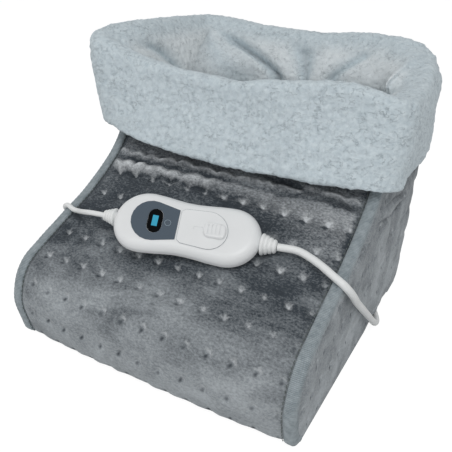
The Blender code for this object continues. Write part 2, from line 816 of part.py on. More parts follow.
def heel_pieces():
    """The heel board with its window, the terminal block in it, and the cord's inlet."""
    reach = HALF_WIDTH - HEEL_RADIUS - SEAM_GAP
    low = CARRIER_LEVEL
    board_size = (2 * reach, BOARD_THICKNESS, BOARD_TOP - low)
    board_centre = (0.0, BOARD_Y - BOARD_THICKNESS / 2, (BOARD_TOP + low) / 2)
    board = block("heel_board", board_size, board_centre, CARDBOARD)
    block_low = WIRE_LEVEL + WIRE_DIAMETER / 2 + SEAM_GAP
    block_centre = (INLET_X, BOARD_Y - BOARD_THICKNESS / 2, block_low + BLOCK_SIZE[2] / 2)
    terminals = block("terminal_block", BLOCK_SIZE, block_centre, DARK_PLASTIC, bevel=BLOCK_SIZE[1] / 8)
    window_size = [side + 2 * SEAM_GAP for side in BLOCK_SIZE]
    window_size[1] = 3 * BOARD_THICKNESS
    window = block("board_window", window_size, block_centre, CARDBOARD)
    cut(board, window)
    sleeve = INLET_HEIGHT
    back = bpy.data.objects["back_panel"]
    reach_in = PANEL_THICKNESS + 2 * SEAM_GAP
    hole = turned(
        "inlet_hole",
        (INLET_X, HEEL_Y - reach_in, sleeve),
        (0, 1, 0),
        ((-PANEL_THICKNESS, INLET_BORE), (2 * PANEL_THICKNESS, INLET_BORE)),
        FLANNEL,
    )
    cut(back, hole)
    face = INLET_FLANGE_THICKNESS
    turned(
        "cord_inlet",
        (INLET_X, HEEL_Y + SEAM_GAP, sleeve),
        (0, 1, 0),
        (
            (-PANEL_THICKNESS - SEAM_GAP, INLET_SLEEVE),
            (0.0, INLET_SLEEVE),
            (0.0, INLET_FLANGE),
            (face, INLET_FLANGE),
            (face + SEAM_GAP, INLET_SLEEVE + SEAM_GAP),
            (INLET_NOSE, INLET_TIP),
        ),
        CORD_WHITE,
        count=16,
    )
    return terminals


def lining():
    """The sherpa liner's five panels: front with its toe, two sides, back and sole."""
    outer = to_height(layer(LINING_LEVEL), LINING_TOP)
    inner = past(to_height(inset_line(SOLE_TOP), LINING_TOP), UNDER_TOE_Y + PANEL_TUCK)
    low = SOLE_TOP + SEAM_GAP
    front = from_height(outer, low)
    behind = spread(from_height(inner, low), 24)
    outline = [tuple(point) for point in front] + [tuple(point) for point in behind[::-1]]
    prism("lining_front", outline, LINING_HALF_WIDTH, SHERPA)

    toe = to_height(outer[1:], SOLE_TOP)
    outline = [(LINING_BACK_Y, LINING_LEVEL)] + [tuple(point) for point in toe]
    prism("lining_sole", outline + [(LINING_BACK_Y, SOLE_TOP)], LINING_HALF_WIDTH, SHERPA)

    back_outline = (
        (LINING_BACK_Y, low),
        (LINING_BACK_Y, LINING_TOP),
        (LINING_BACK_Y - LINING_THICKNESS, LINING_TOP),
        (LINING_BACK_Y - LINING_THICKNESS, low),
    )
    prism("lining_back", back_outline, LINING_HALF_WIDTH, SHERPA)

    heel = HEEL_Y - HEEL_RADIUS
    outline = [(heel, LINING_LEVEL)] + [tuple(point) for point in outer[1:]]
    near = LINING_HALF_WIDTH + SEAM_GAP
    far = near + LINING_THICKNESS
    for name, side in (("lining_left", -1), ("lining_right", 1)):
        ends = sorted((side * near, side * far))
        prism(name, outline + [(heel, LINING_TOP)], ends[1], SHERPA, start=ends[0])


# Once round the shaft from the middle of the front, rightwards: place, rim height, hem height,
# top bulge, hem flare, and how far the rim leans in, as a share of the bulge
CUFF_SHARES = (
    (0.000, 0.868, 0.985, 0.860, 1.000, 0.00),
    (0.030, 0.885, 0.985, 0.860, 1.000, 0.00),
    (0.064, 0.898, 0.995, 0.860, 1.000, 0.00),
    (0.100, 0.916, 1.010, 0.880, 1.000, 0.00),
    (0.128, 0.906, 1.018, 0.900, 0.960, 0.00),
    (0.148, 0.889, 1.012, 0.960, 0.800, 0.00),
    (0.172, 0.884, 1.000, 0.960, 0.430, 0.00),
    (0.230, 0.900, 0.975, 0.960, 0.340, 0.10),
    (0.280, 0.928, 0.970, 0.700, 0.320, 0.25),
    (0.325, 0.945, 0.975, 0.400, 0.280, 0.50),
    (0.360, 0.965, 0.980, 0.380, 0.250, 0.60),
    (0.390, 0.992, 0.985, 0.560, 0.360, 0.30),
    (0.430, 0.996, 0.985, 0.820, 0.450, 0.00),
    (0.500, 0.976, 0.985, 0.920, 0.450, 0.00),
    (0.570, 0.984, 0.985, 0.920, 0.450, 0.00),
    (0.640, 1.004, 0.990, 0.940, 0.380, 0.00),
    (0.700, 1.008, 1.000, 1.060, 0.360, 0.00),
    (0.770, 1.004, 1.020, 1.080, 0.400, 0.00),
    (0.805, 0.996, 1.040, 1.120, 0.460, 0.00),
    (0.828, 0.977, 1.060, 1.160, 0.420, 0.00),
    (0.840, 0.955, 1.070, 1.240, 0.500, 0.00),
    (0.855, 0.932, 1.078, 1.160, 0.680, 0.00),
    (0.885, 0.900, 1.050, 0.920, 0.900, 0.00),
    (0.910, 0.892, 1.020, 0.880, 1.000, 0.00),
    (0.950, 0.876, 1.000, 0.860, 1.000, 0.00),
)


def cuff_table(place_share):
    """Rim height, hem height, bulge, flare and lean at a place round the shaft."""
    table = np.array(CUFF_SHARES)
    knots = np.concatenate([table[:, 0], [1.0]])
    values = [np.concatenate([column, column[:1]]) for column in table[:, 1:].T]
    near = [(place_share + move) % 1.0 for move in CUFF_SMOOTHING]
    return [float(np.mean(np.interp(near, knots, column))) for column in values]


def shaft_plan(out):
    """The shaft's plan, moved out by the given distance: one point list with round corners."""
    wide, low, high = HALF_WIDTH + out, FRONT_WALL_Y - out, HEEL_Y + out
    far_out = max(out - CUFF_SLOT, 0.0)
    right = max(CUFF_FRONT_CORNER + out + CUFF_RIGHT_ROUND * far_out, CUFF_SLOT)
    left = max(CUFF_FRONT_CORNER + out - CUFF_LEFT_SHARP * far_out, CUFF_SLOT)
    rear = max(HEEL_RADIUS + out, CUFF_SLOT)
    corners = (
        (wide - right, low + right, right, -90),
        (wide - rear, high - rear, rear, 0),
        (rear - wide, high - rear, rear, 90),
        (left - wide, low + left, left, 180),
    )
    plan = [(0.0, low)]
    for x, y, radius, first in corners:
        for step in range(9):
            turn = math.radians(first + 90 * step / 8)
            plan.append((x + radius * math.cos(turn), y + radius * math.sin(turn)))
    return np.array(plan + [(0.0, low)])


def shaft_stations(count):
    """Evenly spread places along the plan's point list, and their shares of the way round."""
    plan = shaft_plan(CUFF_BULGE / 2)
    steps = np.linalg.norm(np.diff(plan, axis=0), axis=1)
    along = np.concatenate([[0.0], np.cumsum(steps)])
    # Each of the four corners takes more stations than its own length would give it
    crowd = np.array([0.0] + ([CUFF_CROWD / 8] * 8 + [0.0]) * 4)
    crowded = np.concatenate([[0.0], np.cumsum(steps + crowd)])
    wanted = np.linspace(0.0, crowded[-1], count, endpoint=False)
    stations = np.interp(wanted, crowded, np.arange(len(plan)))
    return stations, np.interp(wanted, crowded, along) / along[-1]


def sherpa_cuff():
    """The liner's top band, turned down over the shell: one ring with an upside-down U section."""
    sections = []
    for station, share in zip(*shaft_stations(CUFF_STATIONS)):
        numbers = np.arange(len(shaft_plan(0.0)))

        def at(out, z):
            plan = shaft_plan(out)
            x, y = (float(np.interp(station, numbers, column)) for column in plan.T)
            return (x, y, z)

        rim, hem, bulge, flare, lean = cuff_table(share)
        rim, hem, lean = rim * CUFF_RIM, hem * CUFF_HEM, lean * CUFF_BULGE
        bulge, flare = bulge * CUFF_BULGE, flare * CUFF_FLARE
        inside = BINDING_DEPTH + SEAM_GAP
        base_y = at(0.0, 0.0)[1]
        top = max(front_height(at(out, 0.0)[1]) for out in (-inside, 0.0, CUFF_SLOT)) + SEAM_GAP
        fold = CUFF_FOLD * math.sin(2 * math.pi * 5 * share) * ease(base_y / HEEL_Y)
        leg = inside + CUFF_LEG + fold / 2
        low = SHELL_FRONT_HEIGHT - CUFF_LEG_DROP + CUFF_ROLL
        drop = rim - hem
        wall = min(CUFF_WALL, 0.5 * flare)
        hem_in = max(flare - wall, CUFF_SLOT)
        crest = bulge - lean
        profile = (
            (flare - wall / 4, hem),
            (flare, hem + CUFF_ROLL / 3),
            (flare + (bulge - flare) * 0.45, hem + 0.30 * drop),
            (flare + (bulge - flare) * 0.85, hem + 0.55 * drop),
            (bulge, hem + 0.72 * drop),
            (crest - CUFF_ROLL / 4, rim - CUFF_ROLL / 2),
            (crest - 1.2 * CUFF_ROLL, rim),
            (crest - 2.4 * CUFF_ROLL, rim - CUFF_ROLL / 3),
            (-leg + CUFF_ROLL / 3 - lean, rim - 1.2 * CUFF_ROLL),
            (-leg - lean / 2, rim - 2.6 * CUFF_ROLL),
            (-leg + fold / 3, (rim + low) / 2 - CUFF_ROLL),
            (-leg, low),
            (-inside, low),
            (-inside, top),
            (CUFF_SLOT, top),
            (CUFF_SLOT, top - 0.35 * (top - hem)),
            (max(hem_in * 0.6, CUFF_SLOT), hem + 0.30 * drop),
            (hem_in, hem),
        )
        sections.append([at(out, z) for out, z in profile])
    return ring_loop("sherpa_cuff", sections, SHERPA)


def controller_frame():
    """An empty at the middle of the controller's underside, on the slope."""
    y = TOE_Y + CONTROLLER_FROM_TOE
    line = FRONT_LINE
    z = float(np.interp(y, line[line[:, 1] > 0.4 * SHELL_FRONT_HEIGHT][:, 0], line[line[:, 1] > 0.4 * SHELL_FRONT_HEIGHT][:, 1]))
    low = FRONT_OUTLINE_SHARES[7]
    high = FRONT_OUTLINE_SHARES[8]
    slope = math.atan2((high[1] - low[1]) * SHELL_FRONT_HEIGHT, (high[0] - low[0]) * BODY_LENGTH)
    turn = Matrix.Rotation(slope, 4, "X") @ Matrix.Rotation(CONTROLLER_YAW, 4, "Z")
    turn = turn @ Matrix.Rotation(CONTROLLER_TILT, 4, "X") @ Matrix.Rotation(CONTROLLER_ROLL, 4, "Y")
    foot = Vector((0.0, y, z)) + CONTROLLER_LIFT * Vector((0.0, -math.sin(slope), math.cos(slope)))
    frame = bpy.data.objects.new("controller_frame", None)
    bpy.context.scene.collection.objects.link(frame)
    frame.matrix_world = Matrix.Translation(foot) @ turn @ Matrix.Translation((*CONTROLLER_SHIFT, 0.0))
    bpy.context.view_layer.update()
    return frame


def housing_outline(inset):
    """The controller's plan, drawn in by the inset: two round ends and a slight waist."""
    display, mains = DISPLAY_END_RADIUS - inset, MAINS_END_RADIUS - inset
    left = -CONTROLLER_LENGTH / 2 + DISPLAY_END_RADIUS
    right = CONTROLLER_LENGTH / 2 - MAINS_END_RADIUS
    points = []
    for step in range(9):
        turn = math.radians(90 + 180 * step / 8)
        points.append((left + display * math.cos(turn), display * math.sin(turn)))
    for step in range(1, 6):
        share = step / 6
        half = display + (mains - display) * share - WAIST_DEPTH * math.sin(math.pi * share) ** 2
        points.append((left + share * (right - left), -half))
    for step in range(9):
        turn = math.radians(-90 + 180 * step / 8)
        points.append((right + mains * math.cos(turn), mains * math.sin(turn)))
    for step in range(5, 0, -1):
        share = step / 6
        half = display + (mains - display) * share - WAIST_DEPTH * math.sin(math.pi * share) ** 2
        points.append((left + share * (right - left), half))
    return points


# The shell's outer section: shares of CONTROLLER_HEIGHT up, with how far each level is drawn in,
# as shares of the mains end's radius
UNDER_SHARES = ((0.0, 0.62), (0.06, 0.42), (0.17, 0.22), (0.33, 0.07), (0.50, 0.0))
OVER_SHARES = ((0.54, 0.0), (0.70, 0.02), (0.85, 0.09), (0.95, 0.19), (1.0, 0.30))


def housing_rings(shares, wall):
    """Rings of the shell's outside, then of its inside, which lies one wall in."""
    outside, inside = [], []
    for up, drawn in shares:
        height = up * CONTROLLER_HEIGHT
        inset = drawn * MAINS_END_RADIUS
        outside.append([(x, y, height) for x, y in housing_outline(inset)])
        level = height
        if up in (0.0, 1.0):
            level = height + math.copysign(wall, 0.5 - up)
        elif up < 0.2:
            level = max(height, wall) + wall / 2
        elif up > 0.9:
            level = height - wall
        inside.append([(x, y, level) for x, y in housing_outline(inset + wall)])
    return outside, inside


def leaning(x, y):
    """A point of the controller's face with the face's lean and place taken in."""
    return (x - FACE_LEAN * y, y + FACE_Y)


def stadium(length, width, centre, heights, steps=6):
    """Rings of an upright shape with two round ends along its local Y."""
    rings = []
    for height in heights:
        ring = []
        for end in (1, -1):
            for step in range(steps + 1):
                turn = math.radians(-90 + 90 * end + 180 * step / steps)
                x = width / 2 * math.cos(turn)
                y = end * (length - width) / 2 + width / 2 * math.sin(turn)
                ring.append((*leaning(centre[0] + x, centre[1] + y), height))
        rings.append(ring)
    return rings


def panel_outline(left, right, radius, half, shrink):
    """A plate with a round left end that narrows to a straight right edge."""
    centre = left + radius
    points = [(right - shrink, -half + shrink), (right - shrink, half - shrink)]
    for step in range(13):
        turn = math.radians(78 + 204 * step / 12)
        reach = radius - shrink
        points.append((centre + reach * math.cos(turn), reach * math.sin(turn)))
    return [leaning(x, y) for x, y in points]


def plate_outline(shrink):
    """The switch plate: straight at the left, round at the right."""
    half = PLATE_HALF - shrink
    centre = PLATE_RIGHT - PLATE_HALF
    corner = PLATE_LEFT + shrink
    points = [(corner, 0.78 * half), (corner, -0.78 * half)]
    points.append((corner + 0.2 * half, -half * 0.92))
    for step in range(11):
        turn = math.radians(-90 + 180 * step / 10)
        points.append((centre + half * math.cos(turn), half * math.sin(turn)))
    points.append((corner + 0.2 * half, half * 0.92))
    return [leaning(x, y) for x, y in points]


def raised(outline, low, high):
    """Two rings of one outline."""
    return [[(x, y, z) for x, y in outline] for z in (low, high)]


def controller_shells(frame):
    """Top and bottom shell, with recesses for the overlay and plate and holes for lens and stem."""
    outside, inside = housing_rings(UNDER_SHARES, SHELL_WALL)
    rim = CONTROLLER_PARTING - SEAM_GAP / 2
    outside.append([(x, y, rim) for x, y in housing_outline(0.0)])
    inside.append([(x, y, rim) for x, y in housing_outline(SHELL_WALL)])
    bottom = lofted("controller_bottom_shell", outside + inside[::-1], WHITE_PLASTIC, parent=frame)

    outside, inside = housing_rings(OVER_SHARES, SHELL_WALL)
    rim = CONTROLLER_PARTING + SEAM_GAP / 2
    outside.insert(0, [(x, y, rim) for x, y in housing_outline(0.0)])
    inside.insert(0, [(x, y, rim) for x, y in housing_outline(SHELL_WALL)])
    top = lofted("controller_top_shell", inside[::-1] + outside, WHITE_PLASTIC, parent=frame)

    over = CONTROLLER_HEIGHT + SHELL_WALL
    recess = CONTROLLER_HEIGHT - OVERLAY_RECESS
    outline = panel_outline(PANEL_LEFT, PANEL_RIGHT, PANEL_RADIUS, PANEL_END_HALF, -SEAM_GAP)
    cut(top, lofted("overlay_recess", raised(outline, recess, over), SLATE, parent=frame))
    plate = lofted("plate_recess", raised(plate_outline(-SEAM_GAP), recess, over), SLATE, parent=frame)
    cut(top, plate)
    below = CONTROLLER_HEIGHT - 2 * SHELL_WALL
    window = stadium(
        LENS_LENGTH + 2 * SEAM_GAP, LENS_WIDTH + 2 * SEAM_GAP, (LENS_X, 0.0), (below, over)
    )
    cut(top, lofted("lens_window", window, SLATE, parent=frame))
    slot_size = (SLOT_RIGHT - SLOT_LEFT + SLOT_WIDTH, SLOT_WIDTH * 1.4, 4 * SHELL_WALL)
    slot_centre = ((SLOT_RIGHT + SLOT_LEFT) / 2, FACE_Y, recess)
    cut(top, block("shell_slot", slot_size, slot_centre, SLATE, parent=frame))

    for end, radius in ((-1, RELIEF_NECK_RADIUS), (1, RELIEF_NECK_RADIUS)):
        start = end * (CONTROLLER_LENGTH / 2 - 3 * SHELL_WALL)
        hole = turned(
            "relief_hole_left" if end < 0 else "relief_hole_right",
            (start, 0.0, RELIEF_AXIS),
            (end, 0, 0),
            ((0.0, radius + RELIEF_GAP), (6 * SHELL_WALL, radius + RELIEF_GAP)),
            SLATE,
            count=16,
            parent=frame,
        )
        cut(bottom, hole)
        cut(top, hole)


def display(frame):
    """The printed overlay with its window, the dark lens in it, and the display module below."""
    face = CONTROLLER_HEIGHT - OVERLAY_RECESS + SEAM_GAP
    outline = panel_outline(PANEL_LEFT, PANEL_RIGHT, PANEL_RADIUS, PANEL_END_HALF, 0.0)
    top = face + OVERLAY_THICKNESS
    overlay = lofted("display_overlay", raised(outline, face, top), SLATE, parent=frame, flat=True)
    window = stadium(
        LENS_LENGTH + 2 * SEAM_GAP,
        LENS_WIDTH + 2 * SEAM_GAP,
        (LENS_X, 0.0),
        (face - SHELL_WALL, top + SHELL_WALL),
    )
    cut(overlay, lofted("overlay_window", window, SLATE, parent=frame))
    low = top - LENS_THICKNESS
    lens = stadium(LENS_LENGTH, LENS_WIDTH, (LENS_X, 0.0), (low, top))
    lofted("display_lens", lens, BLACK_GLASS, parent=frame)
    module_top = CONTROLLER_HEIGHT - SHELL_WALL - SEAM_GAP
    centre = (LENS_X, 0.0, module_top - MODULE_SIZE[2] / 2)
    block("display_module", MODULE_SIZE, centre, DARK_PLASTIC, parent=frame, bevel=SEAM_GAP)


def knob_ring(shrink, height):
    """One level of the thumb slider: a leaning rectangle with round corners."""
    corner = KNOB_WIDTH * 0.31 - shrink / 2
    wide, deep = KNOB_LENGTH / 2 - shrink - corner, KNOB_WIDTH / 2 - shrink - corner
    ring = []
    for x, y, first in ((wide, deep, 0), (-wide, deep, 90), (-wide, -deep, 180), (wide, -deep, 270)):
        for step in range(4):
            turn = math.radians(first + 90 * step / 3)
            across = y + corner * math.sin(turn)
            ring.append((x + corner * math.cos(turn) - FACE_LEAN * across, across, height))
    return ring


def switch(frame):
    """The switch plate, the thumb slider with its stem, and the slide switch on the board."""
    face = CONTROLLER_HEIGHT - OVERLAY_RECESS + SEAM_GAP
    top = face + PLATE_THICKNESS
    rings = raised(plate_outline(0.0), face, top)
    plate = lofted("switch_plate", rings, WHITE_PLASTIC, parent=frame, flat=True)
    slot_size = (SLOT_RIGHT - SLOT_LEFT, SLOT_WIDTH, 4 * PLATE_THICKNESS)
    slot_centre = ((SLOT_RIGHT + SLOT_LEFT) / 2, FACE_Y, face)
    cut(plate, block("plate_slot", slot_size, slot_centre, SLATE, parent=frame))

    switch_top = board_top() + SWITCH_SIZE[2]
    stem_low = switch_top + 3 * SEAM_GAP
    knob_low = top + SEAM_GAP
    knob_z = knob_low
    rings = []
    sizes = ((0.0, 0.0), (0.55, 0.0), (0.85, 0.35), (1.0, 1.0))
    for up, drawn in sizes:
        shrink = drawn * KNOB_HEIGHT * 0.45
        rings.append(knob_ring(shrink, up * KNOB_HEIGHT))
    knob = lofted("switch_knob", rings, WHITE_PLASTIC, parent=frame, location=(KNOB_X, FACE_Y, knob_z))
    stem_size = (STEM_LENGTH, STEM_WIDTH, knob_low - stem_low + KNOB_HEIGHT / 2)
    stem_centre = (0.0, 0.0, stem_low - knob_z + stem_size[2] / 2)
    stem = block("knob_stem", stem_size, stem_centre, WHITE_PLASTIC, parent=frame)
    stem.location = (KNOB_X, FACE_Y, knob_z)
    merge(knob, stem)
    for rib in range(KNOB_RIBS):
        groove_size = (KNOB_RIB_WIDTH, KNOB_WIDTH * 0.7, 2 * KNOB_RIB_DEPTH)
        offset = (rib - (KNOB_RIBS - 1) / 2) * KNOB_RIB_PITCH
        groove = block(f"knob_groove_{rib}", groove_size, (offset, 0.0, KNOB_HEIGHT), SLATE, parent=frame)
        groove.location = (KNOB_X, FACE_Y, knob_z)
        groove.rotation_euler.z = math.atan(FACE_LEAN)
        cut(knob, groove)

    centre = ((SLOT_LEFT + SLOT_RIGHT) / 2, FACE_Y, board_top() + SEAM_GAP + SWITCH_SIZE[2] / 2)
    block("slide_switch", SWITCH_SIZE, centre, NICKEL, parent=frame, bevel=SEAM_GAP)
    bpy.context.view_layer.update()
    print("knob at", knob.matrix_world.translation[:], "slides along", (-frame.matrix_world.col[0].xyz)[:])


def board_top():
    """Height of the circuit board's upper face above the controller's underside."""
    return BOARD_HEIGHT + BOARD_SIZE[2]


def electronics(frame):
    """The circuit board on its posts, and the larger parts soldered to it."""
    centre = (0.0, 0.0, BOARD_HEIGHT + BOARD_SIZE[2] / 2)
    block("circuit_board", BOARD_SIZE, centre, BOARD_GREEN, parent=frame)
    top = board_top() + SEAM_GAP
    bottom = bpy.data.objects["controller_bottom_shell"]
    for index, (side, end) in enumerate(((-1, -1), (-1, 1), (1, -1), (1, 1))):
        foot = (side * POST_X, end * POST_Y, SHELL_WALL / 2)
        post = turned(
            f"board_post_{index}",
            foot,
            (0, 0, 1),
            ((0.0, POST_RADIUS), (BOARD_HEIGHT - SEAM_GAP - SHELL_WALL / 2, POST_RADIUS)),
            WHITE_PLASTIC,
            count=8,
            parent=frame,
        )
        merge(bottom, post)
    x, y = SLOT_RIGHT + CAPACITOR_SIZE[1], -BOARD_SIZE[1] / 4
    block(
        "film_capacitor",
        (CAPACITOR_SIZE[1], CAPACITOR_SIZE[0], CAPACITOR_SIZE[2]),
        (x, y, top + CAPACITOR_SIZE[2] / 2),
        SILICONE,
        parent=frame,
        bevel=SEAM_GAP,
    )
    turned(
        "fuse",
        (x, BOARD_SIZE[1] / 2 - FUSE_LENGTH, top + FUSE_RADIUS),
        (0, 1, 0),
        ((0.0, FUSE_RADIUS), (FUSE_LENGTH, FUSE_RADIUS)),
        NICKEL,
        count=10,
        parent=frame,
    )
    centre = (SLOT_LEFT - THYRISTOR_SIZE[0], BOARD_SIZE[1] / 4, top + THYRISTOR_SIZE[2] / 2)
    block("thyristor", THYRISTOR_SIZE, centre, DARK_PLASTIC, parent=frame, bevel=SEAM_GAP)


def screws(frame):
    """Four self-tapping screws, from below through the bottom shell's bosses into the top's."""
    bottom = bpy.data.objects["controller_bottom_shell"]
    top = bpy.data.objects["controller_top_shell"]
    seat = BOSS_START + SEAM_GAP
    tip = seat + SCREW_LENGTH
    ceiling = CONTROLLER_HEIGHT - SHELL_WALL / 2 - OVERLAY_RECESS
    for index, (side, end) in enumerate(((-1, -1), (-1, 1), (1, -1), (1, 1))):
        spot = (side * SCREW_X, end * SCREW_Y)
        lower = (BOSS_START, CONTROLLER_PARTING - SEAM_GAP / 2)
        upper = (CONTROLLER_PARTING + SEAM_GAP / 2, ceiling)
        for shell, (low, high) in ((bottom, lower), (top, upper)):
            boss = turned(
                f"boss_{shell.name}_{index + 1}",
                (*spot, low),
                (0, 0, 1),
                ((0.0, BOSS_RADIUS), (high - low, BOSS_RADIUS)),
                WHITE_PLASTIC,
                count=10,
                parent=frame,
            )
            merge(shell, boss)
        bore = SCREW_RADIUS + SEAM_GAP
        profile = ((0.0, SCREW_HEAD + SEAM_GAP), (seat + SHELL_WALL, SCREW_HEAD + SEAM_GAP))
        profile += ((seat + SHELL_WALL, bore), (tip + SHELL_WALL + SCREW_RADIUS, bore))
        hole = turned(
            f"screw_hole_{index + 1}",
            (*spot, -SHELL_WALL),
            (0, 0, 1),
            profile,
            SLATE,
            count=10,
            parent=frame,
        )
        cut(bottom, hole)
        cut(top, hole)
        turned(
            f"controller_screw_{index + 1}",
            (*spot, seat - SCREW_RADIUS - SEAM_GAP),
            (0, 0, 1),
            (
                (0.0, SCREW_HEAD * 0.9),
                (SCREW_RADIUS / 2, SCREW_HEAD),
                (SCREW_RADIUS, SCREW_HEAD),
                (SCREW_RADIUS, SCREW_RADIUS),
                (SCREW_LENGTH, SCREW_RADIUS),
                (SCREW_LENGTH + SCREW_RADIUS, SCREW_RADIUS / 3),
            ),
            NICKEL,
            count=8,
            parent=frame,
        )


def relief(name, frame, end, length, radii, cord):
    """A ribbed strain relief: a neck held by the shells and a tapered sleeve outside them."""
    start = end * (CONTROLLER_LENGTH / 2 - SHELL_WALL - RELIEF_NECK_INSIDE)
    neck = RELIEF_NECK_INSIDE + SHELL_WALL
    profile = [(0.0, RELIEF_COLLAR_RADIUS), (RELIEF_COLLAR_LENGTH, RELIEF_COLLAR_RADIUS)]
    profile += [(RELIEF_COLLAR_LENGTH, RELIEF_NECK_RADIUS), (neck + RELIEF_GAP, RELIEF_NECK_RADIUS)]
    steps = 2 * RELIEF_RIBS
    for step in range(steps + 1):
        share = step / steps
        radius = radii[0] + share * (radii[1] - radii[0])
        low = radius - (RIB_DEPTH if step % 2 else 0.0)
        along = neck + RELIEF_GAP + share * length
        profile.append((along, low))
        if step < steps:
            profile.append((along + 0.72 * length / steps, low - 0.5 * (radii[0] - radii[1]) / steps))
    tip = neck + RELIEF_GAP + length
    profile[-1] = (tip, max(radii[1], cord / 2 + RIB_DEPTH / 2))
    turned(name, (start, 0.0, RELIEF_AXIS), (end, 0, 0), profile, CORD_WHITE, count=14, parent=frame)
    return frame.matrix_world @ Vector((start + end * (tip + CORD_GAP), 0.0, RELIEF_AXIS))


def clamps(frame):
    """The bars that grip the two cords inside the shell."""
    for name, end in (("left_cord_clamp", -1), ("right_cord_clamp", 1)):
        x = end * (CONTROLLER_LENGTH / 2 - SHELL_WALL - RELIEF_NECK_INSIDE - CLAMP_SIZE[0] / 2 - SEAM_GAP)
        centre = (x, 0.0, RELIEF_AXIS - CLAMP_SIZE[2] / 2 - SEAM_GAP)
        block(name, CLAMP_SIZE, centre, NICKEL, parent=frame, bevel=SEAM_GAP)


def coil_points():
    """The coiled mains cord: in along the floor, up one layer, and out again on top."""
    count = int(round(COIL_TURNS * LOOP_POINTS))
    outer = COIL_INNER + COIL_TURNS * COIL_STEP
    radius = MAINS_CORD_DIAMETER / 2
    low = radius + TIE_THICKNESS + 2 * SEAM_GAP
    points = []
    for step in range(count + 1):
        turn = 2 * math.pi * step / LOOP_POINTS
        reach = outer - COIL_STEP * step / LOOP_POINTS
        points.append((turn, reach, low))
    climb = LOOP_POINTS // 2
    for step in range(1, climb):
        share = step / climb
        turn = points[count][0] + math.pi * share
        points.append((turn, COIL_INNER, low + COIL_LAYER * ease(share)))
    first = points[count][0] + math.pi
    for step in range(count + 1):
        turn = first + 2 * math.pi * step / LOOP_POINTS
        reach = COIL_INNER + COIL_STEP * step / LOOP_POINTS
        points.append((turn, reach, low + COIL_LAYER))
    return [
        (COIL_X + reach * math.cos(turn), COIL_Y + reach * math.sin(turn), z)
        for turn, reach, z in points
    ]


def least_gap(points, diameter):
    """The least gap between two places of the cord that aren't neighbours along it."""
    line = spread(smooth_curve(points, 4), 1600)
    steps = np.linalg.norm(np.diff(line, axis=0), axis=1).sum() / (len(line) - 1)
    near = int(3 * diameter / steps)
    least = math.inf
    for start in range(0, len(line) - near):
        rest = line[start + near :]
        least = min(least, float(np.linalg.norm(rest - line[start], axis=1).min()))
    return least - diameter


# Routes of the two cords and of the plug's end, over the slope, down the sides and on the floor,
# drawn for a boot of this half width
ROUTE_HALF_WIDTH = 0.1325
PAD_CORD_ROUTE = (
    (-0.0960, -0.1125, 0.1160),
    (-0.1080, -0.1050, 0.1110),
    (-0.1190, -0.1005, 0.1083),
    (-0.1290, -0.0975, 0.1092),
    (-0.1363, -0.0930, 0.1030),
    (-0.1378, -0.0780, 0.0885),
    (-0.1382, -0.0590, 0.0680),
    (-0.1386, -0.0400, 0.0470),
    (-0.1386, -0.0180, 0.0260),
    (-0.1386, 0.0050, 0.0105),
    (-0.1390, 0.0300, 0.0038),
    (-0.1400, 0.0580, 0.0026),
    (-0.1405, 0.0870, 0.0026),
    (-0.1405, 0.1170, 0.0026),
    (-0.1400, 0.1440, 0.0026),
    (-0.1370, 0.1700, 0.0026),
    (-0.1270, 0.1920, 0.0026),
    (-0.1100, 0.2075, 0.0026),
    (-0.0900, 0.2130, 0.0030),
    (-0.0700, 0.2110, 0.0055),
    (-0.0560, 0.2030, 0.0130),
    (-0.0480, 0.1930, 0.0230),
)
MAINS_CORD_ROUTE = (
    (0.1035, -0.0835, 0.1183),
    (0.1145, -0.0872, 0.1160),
    (0.1253, -0.0907, 0.1125),
    (0.1335, -0.0925, 0.1093),
    (0.1390, -0.0860, 0.1000),
    (0.1398, -0.0660, 0.0818),
    (0.1398, -0.0360, 0.0582),
    (0.1398, -0.0080, 0.0362),
    (0.1398, 0.0150, 0.0180),
    (0.1396, 0.0290, 0.0083),
    (0.1382, 0.0410, 0.0042),
    (0.1335, 0.0530, 0.0034),
    (0.1270, 0.0650, 0.0034),
    (0.1222, 0.0780, 0.0034),
    (0.1205, 0.0930, 0.0034),
    (0.1202, 0.1150, 0.0034),
    (0.1202, 0.1400, 0.0034),
    (0.1190, 0.1580, 0.0034),
    (0.1135, 0.1760, 0.0036),
    (0.1040, 0.1910, 0.0042),
)
TAIL_ROUTE = (
    (0.0150, 0.2690, 0.0080),
    (-0.0050, 0.2680, 0.0052),
    (-0.0210, 0.2640, 0.0050),
)
PLUG_PLACE = (-0.0420, 0.2585)
PLUG_TURN = math.radians(196)


def beside_boot(route):
    """A cord's route, moved in or out with the boot's sides."""
    return [(x * HALF_WIDTH / ROUTE_HALF_WIDTH, y, z) for x, y, z in route]


